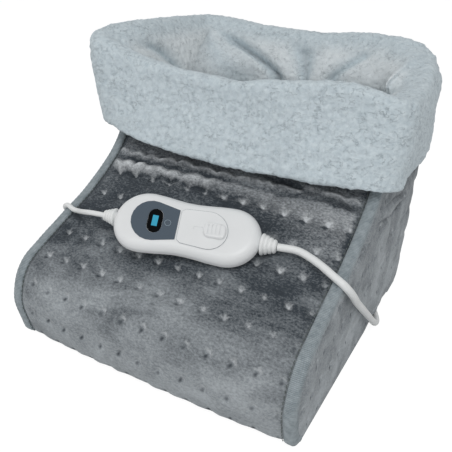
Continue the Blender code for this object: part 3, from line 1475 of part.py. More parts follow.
def cords(frame, pad_exit, mains_exit):
    """The pad cord, the mains cord with its coil and tie, and the tail with its plug."""
    toward = frame.matrix_world.col[0].xyz
    start = [tuple(pad_exit), tuple(pad_exit - 2.5 * PAD_CORD_DIAMETER * toward)]
    inlet = (INLET_X, HEEL_Y + SEAM_GAP + INLET_NOSE + CORD_GAP, INLET_HEIGHT)
    straight = (inlet[0], inlet[1] + 1.5 * PAD_CORD_DIAMETER, inlet[2] - CORD_GAP)
    line = spread(smooth_curve(start + beside_boot(PAD_CORD_ROUTE) + [straight, inlet], 12), 66)
    tube("pad_cord", line, PAD_CORD_DIAMETER, 2, CORD_WHITE)
    print("pad cord length", np.linalg.norm(np.diff(line, axis=0), axis=1).sum())

    turns = coil_points()
    print("coil's least gap to itself", least_gap(turns, MAINS_CORD_DIAMETER))
    print("coil length", np.linalg.norm(np.diff(np.array(turns), axis=0), axis=1).sum())
    coil = tube("mains_coil", turns, MAINS_CORD_DIAMETER, 1, CORD_WHITE)

    first, second = (Vector(point) for point in turns[:2])
    back = (first - second).normalized()
    join = first + back * CORD_GAP
    before = first + back * 2.5 * MAINS_CORD_DIAMETER
    start = [tuple(mains_exit), tuple(mains_exit + 2.5 * MAINS_CORD_DIAMETER * toward)]
    line = spread(smooth_curve(start + beside_boot(MAINS_CORD_ROUTE) + [before, join], 12), 56)
    tube("mains_cord", line, MAINS_CORD_DIAMETER, 2, CORD_WHITE)
    print("mains cord length", np.linalg.norm(np.diff(line, axis=0), axis=1).sum())

    last, previous = Vector(turns[-1]), Vector(turns[-2])
    onward = (last - previous).normalized()
    nose = plug()
    toward_plug = Vector((math.cos(PLUG_TURN), math.sin(PLUG_TURN), 0.0))
    route = [last + onward * CORD_GAP, last + onward * 2.5 * MAINS_CORD_DIAMETER]
    route += list(TAIL_ROUTE) + [nose - toward_plug * (CORD_GAP + MAINS_CORD_DIAMETER)]
    route.append(nose - toward_plug * CORD_GAP)
    line = spread(smooth_curve(route, 12), 20)
    tube("mains_tail", line, MAINS_CORD_DIAMETER, 2, CORD_WHITE)
    print("tail length", np.linalg.norm(np.diff(line, axis=0), axis=1).sum())
    coil_tie()


def plug():
    """The flat two-pin plug, lying on the floor; gives the place where its cord comes in."""
    turn = Matrix.Translation((*PLUG_PLACE, PLUG_HEIGHT / 2)) @ Matrix.Rotation(PLUG_TURN, 4, "Z")
    rings = []
    shares = ((0.0, 0.36, 0.62), (0.18, 0.44, 0.70), (0.45, 0.80, 0.90))
    shares += ((0.62, 1.0, 1.0), (0.96, 1.0, 1.0), (1.0, 0.94, 0.88))
    for along, wide, high in shares:
        half, rise = wide * PLUG_WIDTH / 2, high * PLUG_HEIGHT / 2
        corner = 0.45 * rise
        ring = []
        for side, up in ((1, 1), (-1, 1), (-1, -1), (1, -1)):
            pair = [(side * half, up * (rise - corner)), (side * (half - corner), up * rise)]
            ring += pair if side * up > 0 else pair[::-1]
        rings.append([turn @ Vector((along * PLUG_LENGTH, y, z)) for y, z in ring])
    lofted("plug_body", rings, CORD_WHITE)
    for name, side in (("plug_pin_a", 1), ("plug_pin_b", -1)):
        start = turn @ Vector((PLUG_LENGTH + SEAM_GAP, side * PIN_SPACING / 2, 0.0))
        radius = PIN_DIAMETER / 2
        turned(
            name,
            start,
            turn.to_3x3() @ Vector((1, 0, 0)),
            ((0.0, radius), (PIN_LENGTH - radius, radius), (PIN_LENGTH, radius / 2)),
            NICKEL,
        )
    return turn @ Vector((0.0, 0.0, 0.0))


# The strap's outline, as shares of its half width and half height
TIE_SHARES = (
    (1.0, 0.66),
    (0.89, 1.0),
    (-0.89, 1.0),
    (-1.0, 0.66),
    (-1.0, -0.66),
    (-0.89, -1.0),
    (0.89, -1.0),
    (1.0, -0.66),
)


def coil_tie():
    """The strap round both layers of the coil, on its side away from the boot."""
    radius = MAINS_CORD_DIAMETER / 2
    near = COIL_INNER - radius - SEAM_GAP
    far = COIL_INNER + COIL_TURNS * COIL_STEP + radius + SEAM_GAP
    low, top = 0.0, MAINS_CORD_DIAMETER + COIL_LAYER + 2 * TIE_THICKNESS + 4 * SEAM_GAP
    middle, height = (near + far) / 2, (low + top) / 2
    turn = Matrix.Translation((COIL_X, COIL_Y, height)) @ Matrix.Rotation(math.radians(45), 4, "Z")
    sections = []
    for side, up in TIE_SHARES:
        section = []
        for out, across in ((0, -1), (0, 1), (1, 1), (1, -1)):
            half = (far - near) / 2 + out * TIE_THICKNESS
            rise = (top - low) / 2 - (1 - out) * TIE_THICKNESS
            point = (middle + side * half, across * TIE_WIDTH / 2, up * rise)
            section.append(turn @ Vector(point))
        sections.append(section)
    ring_loop("coil_tie", sections, DARK_PLASTIC)


front_panel()
gusset("left_gusset", -1)
gusset("right_gusset", 1)
binding("left_binding", -1)
binding("right_binding", 1)
back_panel()
base_panel()
heater_carrier()
heating_wire()
cutout("sole_cutout", 3.5 * WIRE_PITCH, 0.0)
cutout("instep_cutout", 12.5 * WIRE_PITCH, 0.0)
heel_pieces()
lining()
sherpa_cuff()
FRAME = controller_frame()
controller_shells(FRAME)
display(FRAME)
switch(FRAME)
electronics(FRAME)
screws(FRAME)
clamps(FRAME)
PAD_EXIT = relief("left_relief", FRAME, -1, PAD_RELIEF_LENGTH, PAD_RELIEF_RADII, PAD_CORD_DIAMETER)
MAINS_EXIT = relief("right_relief", FRAME, 1, MAINS_RELIEF_LENGTH, MAINS_RELIEF_RADII, MAINS_CORD_DIAMETER)
print("cord exits", PAD_EXIT, MAINS_EXIT)
cords(FRAME, PAD_EXIT, MAINS_EXIT)
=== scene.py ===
"""An electric foot warmer: a tufted flannel boot with a turned-down sherpa collar, a corded hand
controller lying on its slope, and the mains cord coiled behind it. Lengths are in metres."""

import math

import bmesh
import bpy
import numpy as np
from mathutils import Matrix, Vector, noise


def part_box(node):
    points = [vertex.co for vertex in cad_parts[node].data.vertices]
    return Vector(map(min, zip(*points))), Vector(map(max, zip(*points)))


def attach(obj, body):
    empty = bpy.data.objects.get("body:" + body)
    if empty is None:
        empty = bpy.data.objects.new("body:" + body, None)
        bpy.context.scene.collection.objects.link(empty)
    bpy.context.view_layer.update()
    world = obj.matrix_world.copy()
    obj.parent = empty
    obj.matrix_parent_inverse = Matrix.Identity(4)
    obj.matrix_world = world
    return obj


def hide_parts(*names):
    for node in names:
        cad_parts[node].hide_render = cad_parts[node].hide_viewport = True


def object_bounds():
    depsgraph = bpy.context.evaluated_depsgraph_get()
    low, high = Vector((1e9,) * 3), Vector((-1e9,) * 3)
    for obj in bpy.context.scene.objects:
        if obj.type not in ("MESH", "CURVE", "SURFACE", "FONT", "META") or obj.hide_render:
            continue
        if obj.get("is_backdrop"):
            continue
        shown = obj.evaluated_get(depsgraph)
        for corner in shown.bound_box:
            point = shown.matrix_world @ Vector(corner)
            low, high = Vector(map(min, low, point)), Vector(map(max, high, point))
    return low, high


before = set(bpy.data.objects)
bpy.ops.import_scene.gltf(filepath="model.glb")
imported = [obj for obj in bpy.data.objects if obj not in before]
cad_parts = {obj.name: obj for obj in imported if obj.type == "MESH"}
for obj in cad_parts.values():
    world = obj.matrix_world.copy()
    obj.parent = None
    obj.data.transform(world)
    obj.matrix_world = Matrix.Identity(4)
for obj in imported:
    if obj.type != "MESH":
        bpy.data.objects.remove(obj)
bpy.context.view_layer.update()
MM = 0.001

# The camera
# It stands in front of the boot's right toe and looks down at it, as the photograph does. Its
# place and angles were fitted to the boot's straight seams, its base and the shaft.
AZIMUTH = math.radians(27.87)
ELEVATION = math.radians(24.82)
ROLL = math.radians(3.15)
CAMERA_PLACE = (0.2207, -0.44535, 0.3145)
LENS = 44.45
SENSOR_WIDTH = 36.0

back = Vector((
    math.sin(AZIMUTH) * math.cos(ELEVATION),
    -math.cos(AZIMUTH) * math.cos(ELEVATION),
    math.sin(ELEVATION),
))
level = Vector((math.cos(AZIMUTH), math.sin(AZIMUTH), 0.0))
upward = back.cross(level)
right = level * math.cos(ROLL) + upward * math.sin(ROLL)
upward = upward * math.cos(ROLL) - level * math.sin(ROLL)
camera = bpy.data.objects.new("camera", bpy.data.cameras.new("camera"))
camera.data.lens = LENS
camera.data.sensor_width = SENSOR_WIDTH
turned = Matrix((right, upward, back)).transposed().to_4x4()
camera.matrix_world = Matrix.Translation(CAMERA_PLACE) @ turned
bpy.context.scene.collection.objects.link(camera)
bpy.context.scene.camera = camera

# The cords
# Both cords are round soft PVC sheaths. The thin one runs from the controller round the left
# side to the heel. The mains lead goes down the right side, under the boot's edge and out at the
# heel to a tied coil.
PAD_CORD_DIAMETER = 4.5 * MM
MAINS_CORD_DIAMETER = 6.2 * MM
CORD_GAP = 0.5 * MM
PAD_CORD_POINTS = 240
MAINS_CORD_POINTS = 900
# A cord leaves its exit and its coil straight, for this many diameters
STRAIGHT_OUT = 2.5
LOOP_POINTS = 24
COIL_CENTRE = (0.050, 0.2185)
COIL_INNER = 29.0 * MM
COIL_STEP = 7.8 * MM
COIL_LAYER = 7.2 * MM
COIL_TURNS = 2.375
TIE_THICKNESS = 1.2 * MM
SEAM_GAP = 0.3 * MM


def linear(code, share=1.0):
    """A colour as the renderer wants it, from an sRGB hex value and a share of its light."""
    parts = [int(code[at : at + 2], 16) / 255 for at in (1, 3, 5)]
    parts = [part / 12.92 if part <= 0.04045 else ((part + 0.055) / 1.055) ** 2.4 for part in parts]
    return (*[share * part for part in parts], 1.0)


def add(tree, kind, inputs=None, stops=(), **settings):
    """One shader node. An input that is given a socket, or a node for its first output in use, is
    linked, and any other is set. A colour ramp gets its stops, each a place and a colour."""
    made = tree.nodes.new("ShaderNode" + kind)
    for name, value in settings.items():
        setattr(made, name, value)
    for name, value in (inputs or {}).items():
        if isinstance(value, bpy.types.Node):
            value = next(output for output in value.outputs if output.enabled)
        if isinstance(value, bpy.types.NodeSocket):
            tree.links.new(value, made.inputs[name])
        else:
            made.inputs[name].default_value = value
    if stops:
        held = made.color_ramp.elements
        held[0].position, held[0].color = stops[0]
        held[1].position, held[1].color = stops[-1]
        for place, colour in stops[1:-1]:
            held.new(place).color = colour
    return made


def finish(name):
    """A new material with only its output, and its node tree."""
    material = bpy.data.materials.new(name)
    material.use_nodes = True
    tree = material.node_tree
    tree.nodes.clear()
    return material, tree


def surface(tree, shader):
    """Joins a shader to the material's output."""
    add(tree, "OutputMaterial", {"Surface": shader})


def moulded(name, code, roughness, grain, depth, spread=0.06, gleam=0.5):
    """A moulded plastic: one colour, with the mould's fine spark-eroded grain in its gloss."""
    material, tree = finish(name)
    where = add(tree, "TexCoord").outputs["Object"]
    fine = add(tree, "TexNoise", {"Vector": where, "Scale": 1 / grain, "Detail": 3.0})
    dull = add(tree, "MapRange", {
        "Value": fine,
        "To Min": roughness - spread,
        "To Max": roughness + spread,
    })
    cloud = add(tree, "TexNoise", {"Vector": where, "Scale": 45.0, "Detail": 2.0})
    shade = add(tree, "Mix", {
        "Factor": cloud,
        "A": linear(code),
        "B": linear(code, 0.93),
    }, data_type="RGBA")
    bump = add(tree, "Bump", {"Strength": 0.25, "Distance": depth, "Height": fine})
    surface(tree, add(tree, "BsdfPrincipled", {
        "Base Color": shade,
        "Roughness": dull,
        "Specular IOR Level": gleam,
        "Normal": bump,
    }))
    return material


# Soft PVC keeps a faint silky gloss and a slight unevenness from the extruder
soft_pvc = moulded("soft_pvc_extruded", "#eceeee", 0.42, 1.6 * MM, 0.05 * MM)


def smooth_curve(points, steps):
    """A smooth curve through the points, with the given number of steps between two of them."""
    knots = np.array(points, float)
    ends = np.vstack([2 * knots[0] - knots[1], knots, 2 * knots[-1] - knots[-2]])
    curve = []
    for span in range(1, len(ends) - 2):
        before, start, stop, after = ends[span - 1 : span + 3]
        for share in np.linspace(0.0, 1.0, steps, endpoint=False):
            curve.append(0.5 * (
                2 * start
                + (stop - before) * share
                + (2 * before - 5 * start + 4 * stop - after) * share**2
                + (3 * start - before - 3 * stop + after) * share**3
            ))
    curve.append(knots[-1])
    return np.array(curve)


def spread(curve, count):
    """The same line with its points evenly spaced."""
    steps = np.linalg.norm(np.diff(curve, axis=0), axis=1)
    along = np.concatenate([[0.0], np.cumsum(steps)])
    wanted = np.linspace(0.0, along[-1], count)
    return np.column_stack([np.interp(wanted, along, column) for column in curve.T])


def run_of(line):
    """The length of a line of points."""
    return float(np.linalg.norm(np.diff(line, axis=0), axis=1).sum())


def show(piece, slot, *nodes):
    """Hangs a finished piece on the boot's body in place of the solids that it stands for."""
    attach(piece, "foot_warmer")
    if nodes:
        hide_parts(*nodes)
    return piece


def round_line(name, line, width, roundness, material):
    """A round body of one width along a line."""
    curve = bpy.data.curves.new(name, "CURVE")
    curve.dimensions = "3D"
    curve.bevel_depth = width / 2
    curve.bevel_resolution = roundness
    spline = curve.splines.new("POLY")
    spline.points.add(len(line) - 1)
    for point, place in zip(spline.points, line):
        point.co = (*place, 1.0)
    curve.materials.append(material)
    piece = bpy.data.objects.new(name, curve)
    bpy.context.scene.collection.objects.link(piece)
    return piece


def flex(name, line, diameter, *nodes):
    """A round cord along the line, with closed ends."""
    piece = round_line(name, line, diameter, 5, soft_pvc)
    piece.data.use_fill_caps = True
    return show(piece, "white_cord", *nodes)


# The controller's own axes, read off its flat circuit board: along it, across it and up. The origin
# lies under the board's middle, on the controller's underside
board = np.array([vertex.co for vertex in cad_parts["circuit_board"].data.vertices])
middle = board.mean(axis=0)
along_board, across_board, above_board = np.linalg.svd(board - middle, full_matrices=False)[2]
along_board = Vector(along_board) * math.copysign(1.0, along_board[0])
above_board = Vector(above_board) * math.copysign(1.0, above_board[2])
across_board = above_board.cross(along_board)
BOARD_THICKNESS = 1.6 * MM
BOARD_HEIGHT = 5.2 * MM
turn = Matrix((along_board, across_board, above_board)).transposed()
spans = board @ np.array(turn)
centre = turn @ Vector((spans.min(axis=0) + spans.max(axis=0)) / 2)
foot = centre - above_board * (BOARD_HEIGHT + BOARD_THICKNESS / 2)
CONTROLLER = Matrix.Translation(foot) @ turn.to_4x4()
CONTROLLER_LENGTH = 125.0 * MM
SHELL_WALL = 2.0 * MM
# A strain relief starts inside the shell, and its neck reaches out through the wall
RELIEF_AXIS = 9.9 * MM
RELIEF_START = CONTROLLER_LENGTH / 2 - SHELL_WALL - 8 * MM
RELIEF_NECK = 10 * MM + SEAM_GAP
MAINS_RELIEF_LENGTH = 12.5 * MM
PAD_RELIEF_LENGTH = 11.0 * MM

neck_out = RELIEF_START + RELIEF_NECK
mains_exit = CONTROLLER @ Vector((neck_out + MAINS_RELIEF_LENGTH + CORD_GAP, 0.0, RELIEF_AXIS))
pad_exit = CONTROLLER @ Vector((-neck_out - PAD_RELIEF_LENGTH - CORD_GAP, 0.0, RELIEF_AXIS))

PAD_CORD_ROUTE = (
    (-0.0960, -0.1125, 0.1160),
    (-0.1080, -0.1050, 0.1110),
    (-0.1190, -0.1005, 0.1083),
    (-0.1290, -0.0975, 0.1092),
    (-0.1363, -0.0930, 0.1030),
    (-0.1378, -0.0780, 0.0885),
    (-0.1382, -0.0590, 0.0680),
    (-0.1386, -0.0400, 0.0470),
    (-0.1386, -0.0180, 0.0260),
    (-0.1386, 0.0050, 0.0105),
    (-0.1390, 0.0300, 0.0038),
    (-0.1400, 0.0580, 0.0026),
    (-0.1405, 0.0870, 0.0026),
    (-0.1405, 0.1170, 0.0026),
    (-0.1400, 0.1440, 0.0026),
    (-0.1370, 0.1700, 0.0026),
    (-0.1270, 0.1920, 0.0026),
    (-0.1100, 0.2075, 0.0026),
    (-0.0900, 0.2130, 0.0030),
    (-0.0700, 0.2110, 0.0055),
    (-0.0560, 0.2030, 0.0130),
    (-0.0480, 0.1930, 0.0230),
)
MAINS_CORD_ROUTE = (
    (0.1035, -0.0835, 0.1183),
    (0.1145, -0.0872, 0.1160),
    (0.1253, -0.0907, 0.1125),
    (0.1335, -0.0925, 0.1093),
    (0.1390, -0.0860, 0.1000),
    (0.1398, -0.0660, 0.0818),
    (0.1398, -0.0360, 0.0582),
    (0.1398, -0.0080, 0.0362),
    (0.1398, 0.0150, 0.0180),
    (0.1396, 0.0290, 0.0083),
    (0.1382, 0.0410, 0.0042),
    (0.1335, 0.0530, 0.0034),
    (0.1270, 0.0650, 0.0034),
    (0.1222, 0.0780, 0.0034),
    (0.1205, 0.0930, 0.0034),
    (0.1202, 0.1150, 0.0034),
    (0.1202, 0.1400, 0.0034),
    (0.1190, 0.1580, 0.0034),
    (0.1135, 0.1760, 0.0036),
    (0.1040, 0.1910, 0.0042),
)
TAIL_ROUTE = (
    (0.0150, 0.2690, 0.0080),
    (-0.0050, 0.2680, 0.0052),
    (-0.0210, 0.2640, 0.0050),
)
PLUG_TURN = math.radians(196)
PLUG_HEIGHT = 13.7 * MM
PLUG_PLACE = Matrix.Translation((-0.0420, 0.2585, PLUG_HEIGHT / 2)) @ Matrix.Rotation(PLUG_TURN, 4, "Z")
INLET_PLACE = Vector((-0.045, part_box("cord_inlet")[1].y, 0.030))


def ease(share):
    """Smooth step from 0 to 1."""
    share = min(max(share, 0.0), 1.0)
    return share * share * (3 - 2 * share)


def coil_turns():
    """The coil's line: in along the floor, up one layer, and out again on top."""
    count = round(COIL_TURNS * LOOP_POINTS)
    climb = LOOP_POINTS // 2
    low = MAINS_CORD_DIAMETER / 2 + TIE_THICKNESS + 2 * SEAM_GAP
    line = []
    for step in range(2 * count + climb + 1):
        inward, risen = min(step, count), min(max(step - count, 0), climb)
        outward = max(step - count - climb, 0)
        reach = COIL_INNER + COIL_STEP * (count - inward + outward) / LOOP_POINTS
        angle = 2 * math.pi * step / LOOP_POINTS
        x, y = COIL_CENTRE[0] + reach * math.cos(angle), COIL_CENTRE[1] + reach * math.sin(angle)
        line.append((x, y, low + COIL_LAYER * ease(risen / climb)))
    return line


toward = CONTROLLER.col[0].xyz
inlet = INLET_PLACE + Vector((0.0, CORD_GAP, 0.0))
inlet_straight = inlet + Vector((0.0, 1.5 * PAD_CORD_DIAMETER, -CORD_GAP))
pad_start = pad_exit - STRAIGHT_OUT * PAD_CORD_DIAMETER * toward
pad_line = smooth_curve([pad_exit, pad_start, *PAD_CORD_ROUTE, inlet_straight, inlet], 12)
pad_line = spread(pad_line, PAD_CORD_POINTS)
pad_cord = flex("pad_cord_sheath", pad_line, PAD_CORD_DIAMETER, "pad_cord")

turns = [Vector(place) for place in coil_turns()]
straight = STRAIGHT_OUT * MAINS_CORD_DIAMETER
mains_start = mains_exit + straight * toward
before = turns[0] + (turns[0] - turns[1]).normalized() * straight
after = turns[-1] + (turns[-1] - turns[-2]).normalized() * straight
plug_mouth = PLUG_PLACE.translation - PLUG_PLACE.col[0].xyz * CORD_GAP
tail_end = plug_mouth - PLUG_PLACE.col[0].xyz * MAINS_CORD_DIAMETER
mains_line = smooth_curve(
    [mains_exit, mains_start, *MAINS_CORD_ROUTE, before, *turns, after, *TAIL_ROUTE, tail_end, plug_mouth], 6
)
mains_line = spread(mains_line, MAINS_CORD_POINTS)
mains_lead = flex(
    "mains_lead_sheath", mains_line, MAINS_CORD_DIAMETER, "mains_cord", "mains_coil", "mains_tail"
)

# The plug, its pins and the tie
# A flat two-pin plug is moulded in PVC round nickelled brass pins. A black hook-and-loop strap,
# woven of matt nylon, holds the coil's turns together.
black_hook_tape = moulded("nylon_hook_tape_black", "#1d1e20", 0.75, 0.8 * MM, 0.3 * MM)
PLUG_LENGTH = 36.0 * MM
PLUG_WIDTH = 26.0 * MM
PLUG_POINTS = 20


def nickelled(name):
    """Nickel-plated brass: a warm grey mirror with faint drawing marks."""
    material, tree = finish(name)
    where = add(tree, "TexCoord").outputs["Object"]
    marks = add(tree, "TexNoise", {"Vector": where, "Scale": 900.0, "Detail": 2.0})
    dull = add(tree, "MapRange", {"Value": marks, "To Min": 0.16, "To Max": 0.30})
    surface(tree, add(tree, "BsdfPrincipled", {
        "Base Color": linear("#cfccc4"),
        "Metallic": 1.0,
        "Roughness": dull,
    }))
    return material


nickelled_brass = nickelled("nickelled_brass_drawn")


def mesh_piece(name, points, faces, material, flat=False):
    """A mesh object, its faces turned out and shaded smooth."""
    mesh = bpy.data.meshes.new(name)
    mesh.from_pydata([tuple(point) for point in points], [], faces)
    shape = bmesh.new()
    shape.from_mesh(mesh)
    bmesh.ops.recalc_face_normals(shape, faces=shape.faces)
    shape.to_mesh(mesh)
    shape.free()
    mesh.materials.append(material)
    if not flat:
        mesh.shade_smooth()
    piece = bpy.data.objects.new(name, mesh)
    bpy.context.scene.collection.objects.link(piece)
    return piece


def loft(rings):
    """The points and faces of a skin over rings of equal point counts, with its two ends closed."""
    count = len(rings[0])
    points = [point for ring in rings for point in ring]
    faces = []
    for low in range(0, len(points) - count, count):
        for at in range(count):
            following = (at + 1) % count
            faces.append((low + at, low + following, low + count + following, low + count + at))
    faces.append(tuple(range(count)))
    faces.append(tuple(range(len(points) - count, len(points))))
    return points, faces


def lofted(name, rings, material, flat=False):
    """A piece with a closed skin over rings."""
    return mesh_piece(name, *loft(rings), material, flat)


# The plug's sections from its cord to its face: shares of its length, its width and its height
PLUG_SHARES = (
    (0.0, 0.34, 0.56),
    (0.01, 0.36, 0.62),
    (0.18, 0.44, 0.70),
    (0.45, 0.80, 0.90),
    (0.62, 1.0, 1.0),
    (0.94, 1.0, 1.0),
    (0.985, 0.98, 0.96),
    (1.0, 0.92, 0.86),
)
rings = []
for along, wide, high in PLUG_SHARES:
    half, rise = wide * PLUG_WIDTH / 2, high * PLUG_HEIGHT / 2
    ring = []
    for step in range(PLUG_POINTS):
        angle = 2 * math.pi * step / PLUG_POINTS
        across, up = math.cos(angle), math.sin(angle)
        across = math.copysign(abs(across) ** 0.55, across)
        up = math.copysign(abs(up) ** 0.75, up)
        ring.append(PLUG_PLACE @ Vector((along * PLUG_LENGTH, half * across, rise * up)))
    rings.append(ring)
plug = lofted("plug_moulding", rings, soft_pvc)
rounding = plug.modifiers.new("rounding", "SUBSURF")
rounding.levels = rounding.render_levels = 1
show(plug, "white_cord", "plug_body")


def coat(material, *nodes):
    """Gives carried-over solids their material."""
    for name in nodes:
        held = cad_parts[name]
        if not held.material_slots:
            held.data.materials.append(material)
        held.material_slots[0].material = material


coat(nickelled_brass, "plug_pin_a", "plug_pin_b")
coat(black_hook_tape, "coil_tie")

# The flannel shell
# Brushed polyester flannel is quilted over thin wadding with spot welds, which pull a small
# pucker into the pile at each place. The brushed nap lies in light and dark patches.
BODY_WIDTH = 0.265
BODY_LENGTH = 0.319
HALF_WIDTH = BODY_WIDTH / 2
TOE_Y = -0.16505
HEEL_Y = TOE_Y + BODY_LENGTH
SHELL_FRONT_HEIGHT = 0.212
SHELL_BACK_HEIGHT = 0.226
HEEL_RADIUS = 0.018
PANEL_THICKNESS = 0.007
PANEL_TUCK = 0.020
BINDING_WIDTH = 0.008
FRONT_OUTLINE_SHARES = (
    (0.066, 0.0),
    (0.030, 0.034),
    (0.016, 0.093),
    (0.000, 0.192),
    (0.012, 0.290),
    (0.045, 0.361),
    (0.105, 0.411),
    (0.200, 0.479),
    (0.290, 0.542),
    (0.380, 0.626),
    (0.440, 0.701),
    (0.478, 0.783),
    (0.487, 0.877),
    (0.487, 1.0),
)
TUFT_PITCH = 19.35 * MM
TUFT_ROW = 27.0 * MM
TUFT_FIRST = (4.2 * MM, 17.0 * MM)
PUCKER_DEPTH = 2.5 * MM
PUCKER_RADIUS = 2.6 * MM
PILLOW_DEPTH = 1.6 * MM
PILLOW_RADIUS = 6.5 * MM
TOE_CROWN = 6.0 * MM
SLOPE_CROWN = 1.8 * MM
CROWN_RISE = 0.030
RIM_FADE = 12.0 * MM
# How much painted light and shade a crease's height gives, paler on its crest and darker in its groove, and
# the widest one that gets it on a side
CREASE_PAINTED_SHADING = 190.0
CREASE_WIDTH = 4.0 * MM
# The nap's patches and its tufts of fibres, across, along and up; the tufts are drawn coarser than
# real ones, which are too fine to show
NAP_PATCH = (1 / 15, 1 / 30, 1 / 30)
NAP_TUFT = (1 / 420, 1 / 620, 1 / 620)
NAP_SHIFT = (3.1, 1.7, 0.4)
# Painted sheen on the toe: below the first height its nap is painted paler, fully so at the second, by the
# given share
TOE_SHEEN_HEIGHTS = (0.102, 0.045)
TOE_PAINTED_SHEEN = 0.20
# Where the hem presses the cloth, and painted light that makes it paler: under the hem, where the collar's
# shadow falls, and toward the right, where the key lamp falls
HEM_STOP = 0.212
HEM_PAINTED_LIGHT = (0.200, 0.012, 0.28)
RIGHT_PAINTED_LIGHT = (0.135, 0.050, 0.30)


def brushed_flannel(name, dark, light, painted_highlight, painted_lift=0.0):
    """Short brushed nap: patches lie light and dark. The toe is painted paler, as a painted sheen; the
    piece's kept marks paint a pale highlight and a shadow below the middle at every weld, and light and shade
    elsewhere. The lift paints all of it paler."""
    material, tree = finish(name)
    where = add(tree, "TexCoord").outputs["Object"]
    brushed = add(tree, "Mapping", {
        "Vector": where, "Location": NAP_SHIFT, "Scale": [1 / size for size in NAP_PATCH],
    })
    patches = add(tree, "TexNoise", {
        "Vector": brushed, "Scale": 1.0, "Detail": 4.0, "Roughness": 0.55, "Distortion": 0.7,
    })
    flecks = add(tree, "Mapping", {"Vector": where, "Scale": [1 / size for size in NAP_TUFT]})
    fibres = add(tree, "TexNoise", {"Vector": flecks, "Scale": 1.0, "Detail": 4.0, "Roughness": 0.7})
    heights = add(tree, "SeparateXYZ", {"Vector": where})
    # Painted sheen: the toe is painted paler toward the floor, and the lift paints all of it paler, as
    # painted light
    toe = add(tree, "MapRange", {
        "Value": heights.outputs["Z"],
        "From Min": TOE_SHEEN_HEIGHTS[0],
        "From Max": TOE_SHEEN_HEIGHTS[1],
        "To Min": painted_lift,
        "To Max": max(painted_lift, TOE_PAINTED_SHEEN),
    })
    mixed = add(tree, "Math", {0: patches, 1: 0.45, 2: toe}, operation="MULTIPLY_ADD")
    nap = add(tree, "Math", {0: fibres, 1: 0.40, 2: mixed}, operation="MULTIPLY_ADD")
    tones = add(tree, "ValToRGB", {"Fac": nap}, stops=(
        (0.26, linear(dark, 0.6)), (0.40, linear(dark, 1.15)), (0.70, linear(light)),
    ))
    # The piece's kept painted light and shade: above 0 a painted highlight, broken up by the fibres, below 0
    # a painted shadow
    painted_light = add(tree, "Attribute", attribute_name="painted_light").outputs["Fac"]
    highlight_in_fibres = add(tree, "Math", {0: fibres, 1: painted_light}, operation="MULTIPLY")
    highlight_mask = add(tree, "MapRange", {"Value": highlight_in_fibres, "From Min": 0.08, "From Max": 0.60})
    highlighted = add(tree, "Mix", {"Factor": highlight_mask, "A": tones, "B": linear(painted_highlight)}, data_type="RGBA")
    # Painted shadow below each weld's middle
    pit = add(tree, "MapRange", {"Value": painted_light, "From Min": -0.1, "From Max": -0.9})
    shade = add(tree, "Mix", {"Factor": pit, "A": highlighted, "B": linear("#3b4147")}, data_type="RGBA")
    pile = add(tree, "TexNoise", {"Vector": where, "Scale": 1100.0, "Detail": 3.0, "Roughness": 0.6})
    ground = add(tree, "Bump", {"Strength": 0.45, "Distance": 0.6 * MM, "Height": nap})
    bump = add(tree, "Bump", {"Strength": 0.6, "Distance": 0.35 * MM, "Height": pile, "Normal": ground})
    surface(tree, add(tree, "BsdfPrincipled", {
        "Base Color": shade,
        "Roughness": 0.85,
        "Specular IOR Level": 0.2,
        "Sheen Weight": 0.2,
        "Sheen Roughness": 0.4,
        "Sheen Tint": linear("#dfe4e8"),
        "Normal": bump,
    }))
    return material


# The last colour of each flannel is the painted highlight round its welds
flannel = brushed_flannel("polyester_flannel_brushed", "#373d43", "#b0b6ba", "#d3d7da")
# The sides and the back are a paler copy of the flannel, as painted light: a slightly paler dark tone, a lift
# that paints all of it paler, and duller weld stars
painted_paler_flannel = brushed_flannel("polyester_flannel_painted_paler", "#3c4248", "#b0b6ba", "#bfc4c8", 0.13)
front_line = smooth_curve(
    [(TOE_Y + share * BODY_LENGTH, up * SHELL_FRONT_HEIGHT) for share, up in FRONT_OUTLINE_SHARES], 24
)
FRONT_WALL_Y = float(front_line[-1, 0])
UNDER_TOE_Y = float(front_line[0, 0])


def front_places(stops):
    """Points and outward directions (y, z) along the front; before 0 the line lies on the floor."""
    line = np.vstack([[UNDER_TOE_Y + PANEL_TUCK, 0.0], front_line])
    along = np.concatenate([[0.0], np.cumsum(np.linalg.norm(np.diff(line, axis=0), axis=1))]) - PANEL_TUCK
    way = np.gradient(line, axis=0)
    way[:2] = (-1.0, 0.0)
    way /= np.linalg.norm(way, axis=1)[:, None]
    places = np.column_stack([np.interp(stops, along, column) for column in line.T])
    ways = np.column_stack([np.interp(stops, along, column) for column in way.T])
    ways /= np.linalg.norm(ways, axis=1)[:, None]
    return places, np.column_stack([-ways[:, 1], ways[:, 0]])


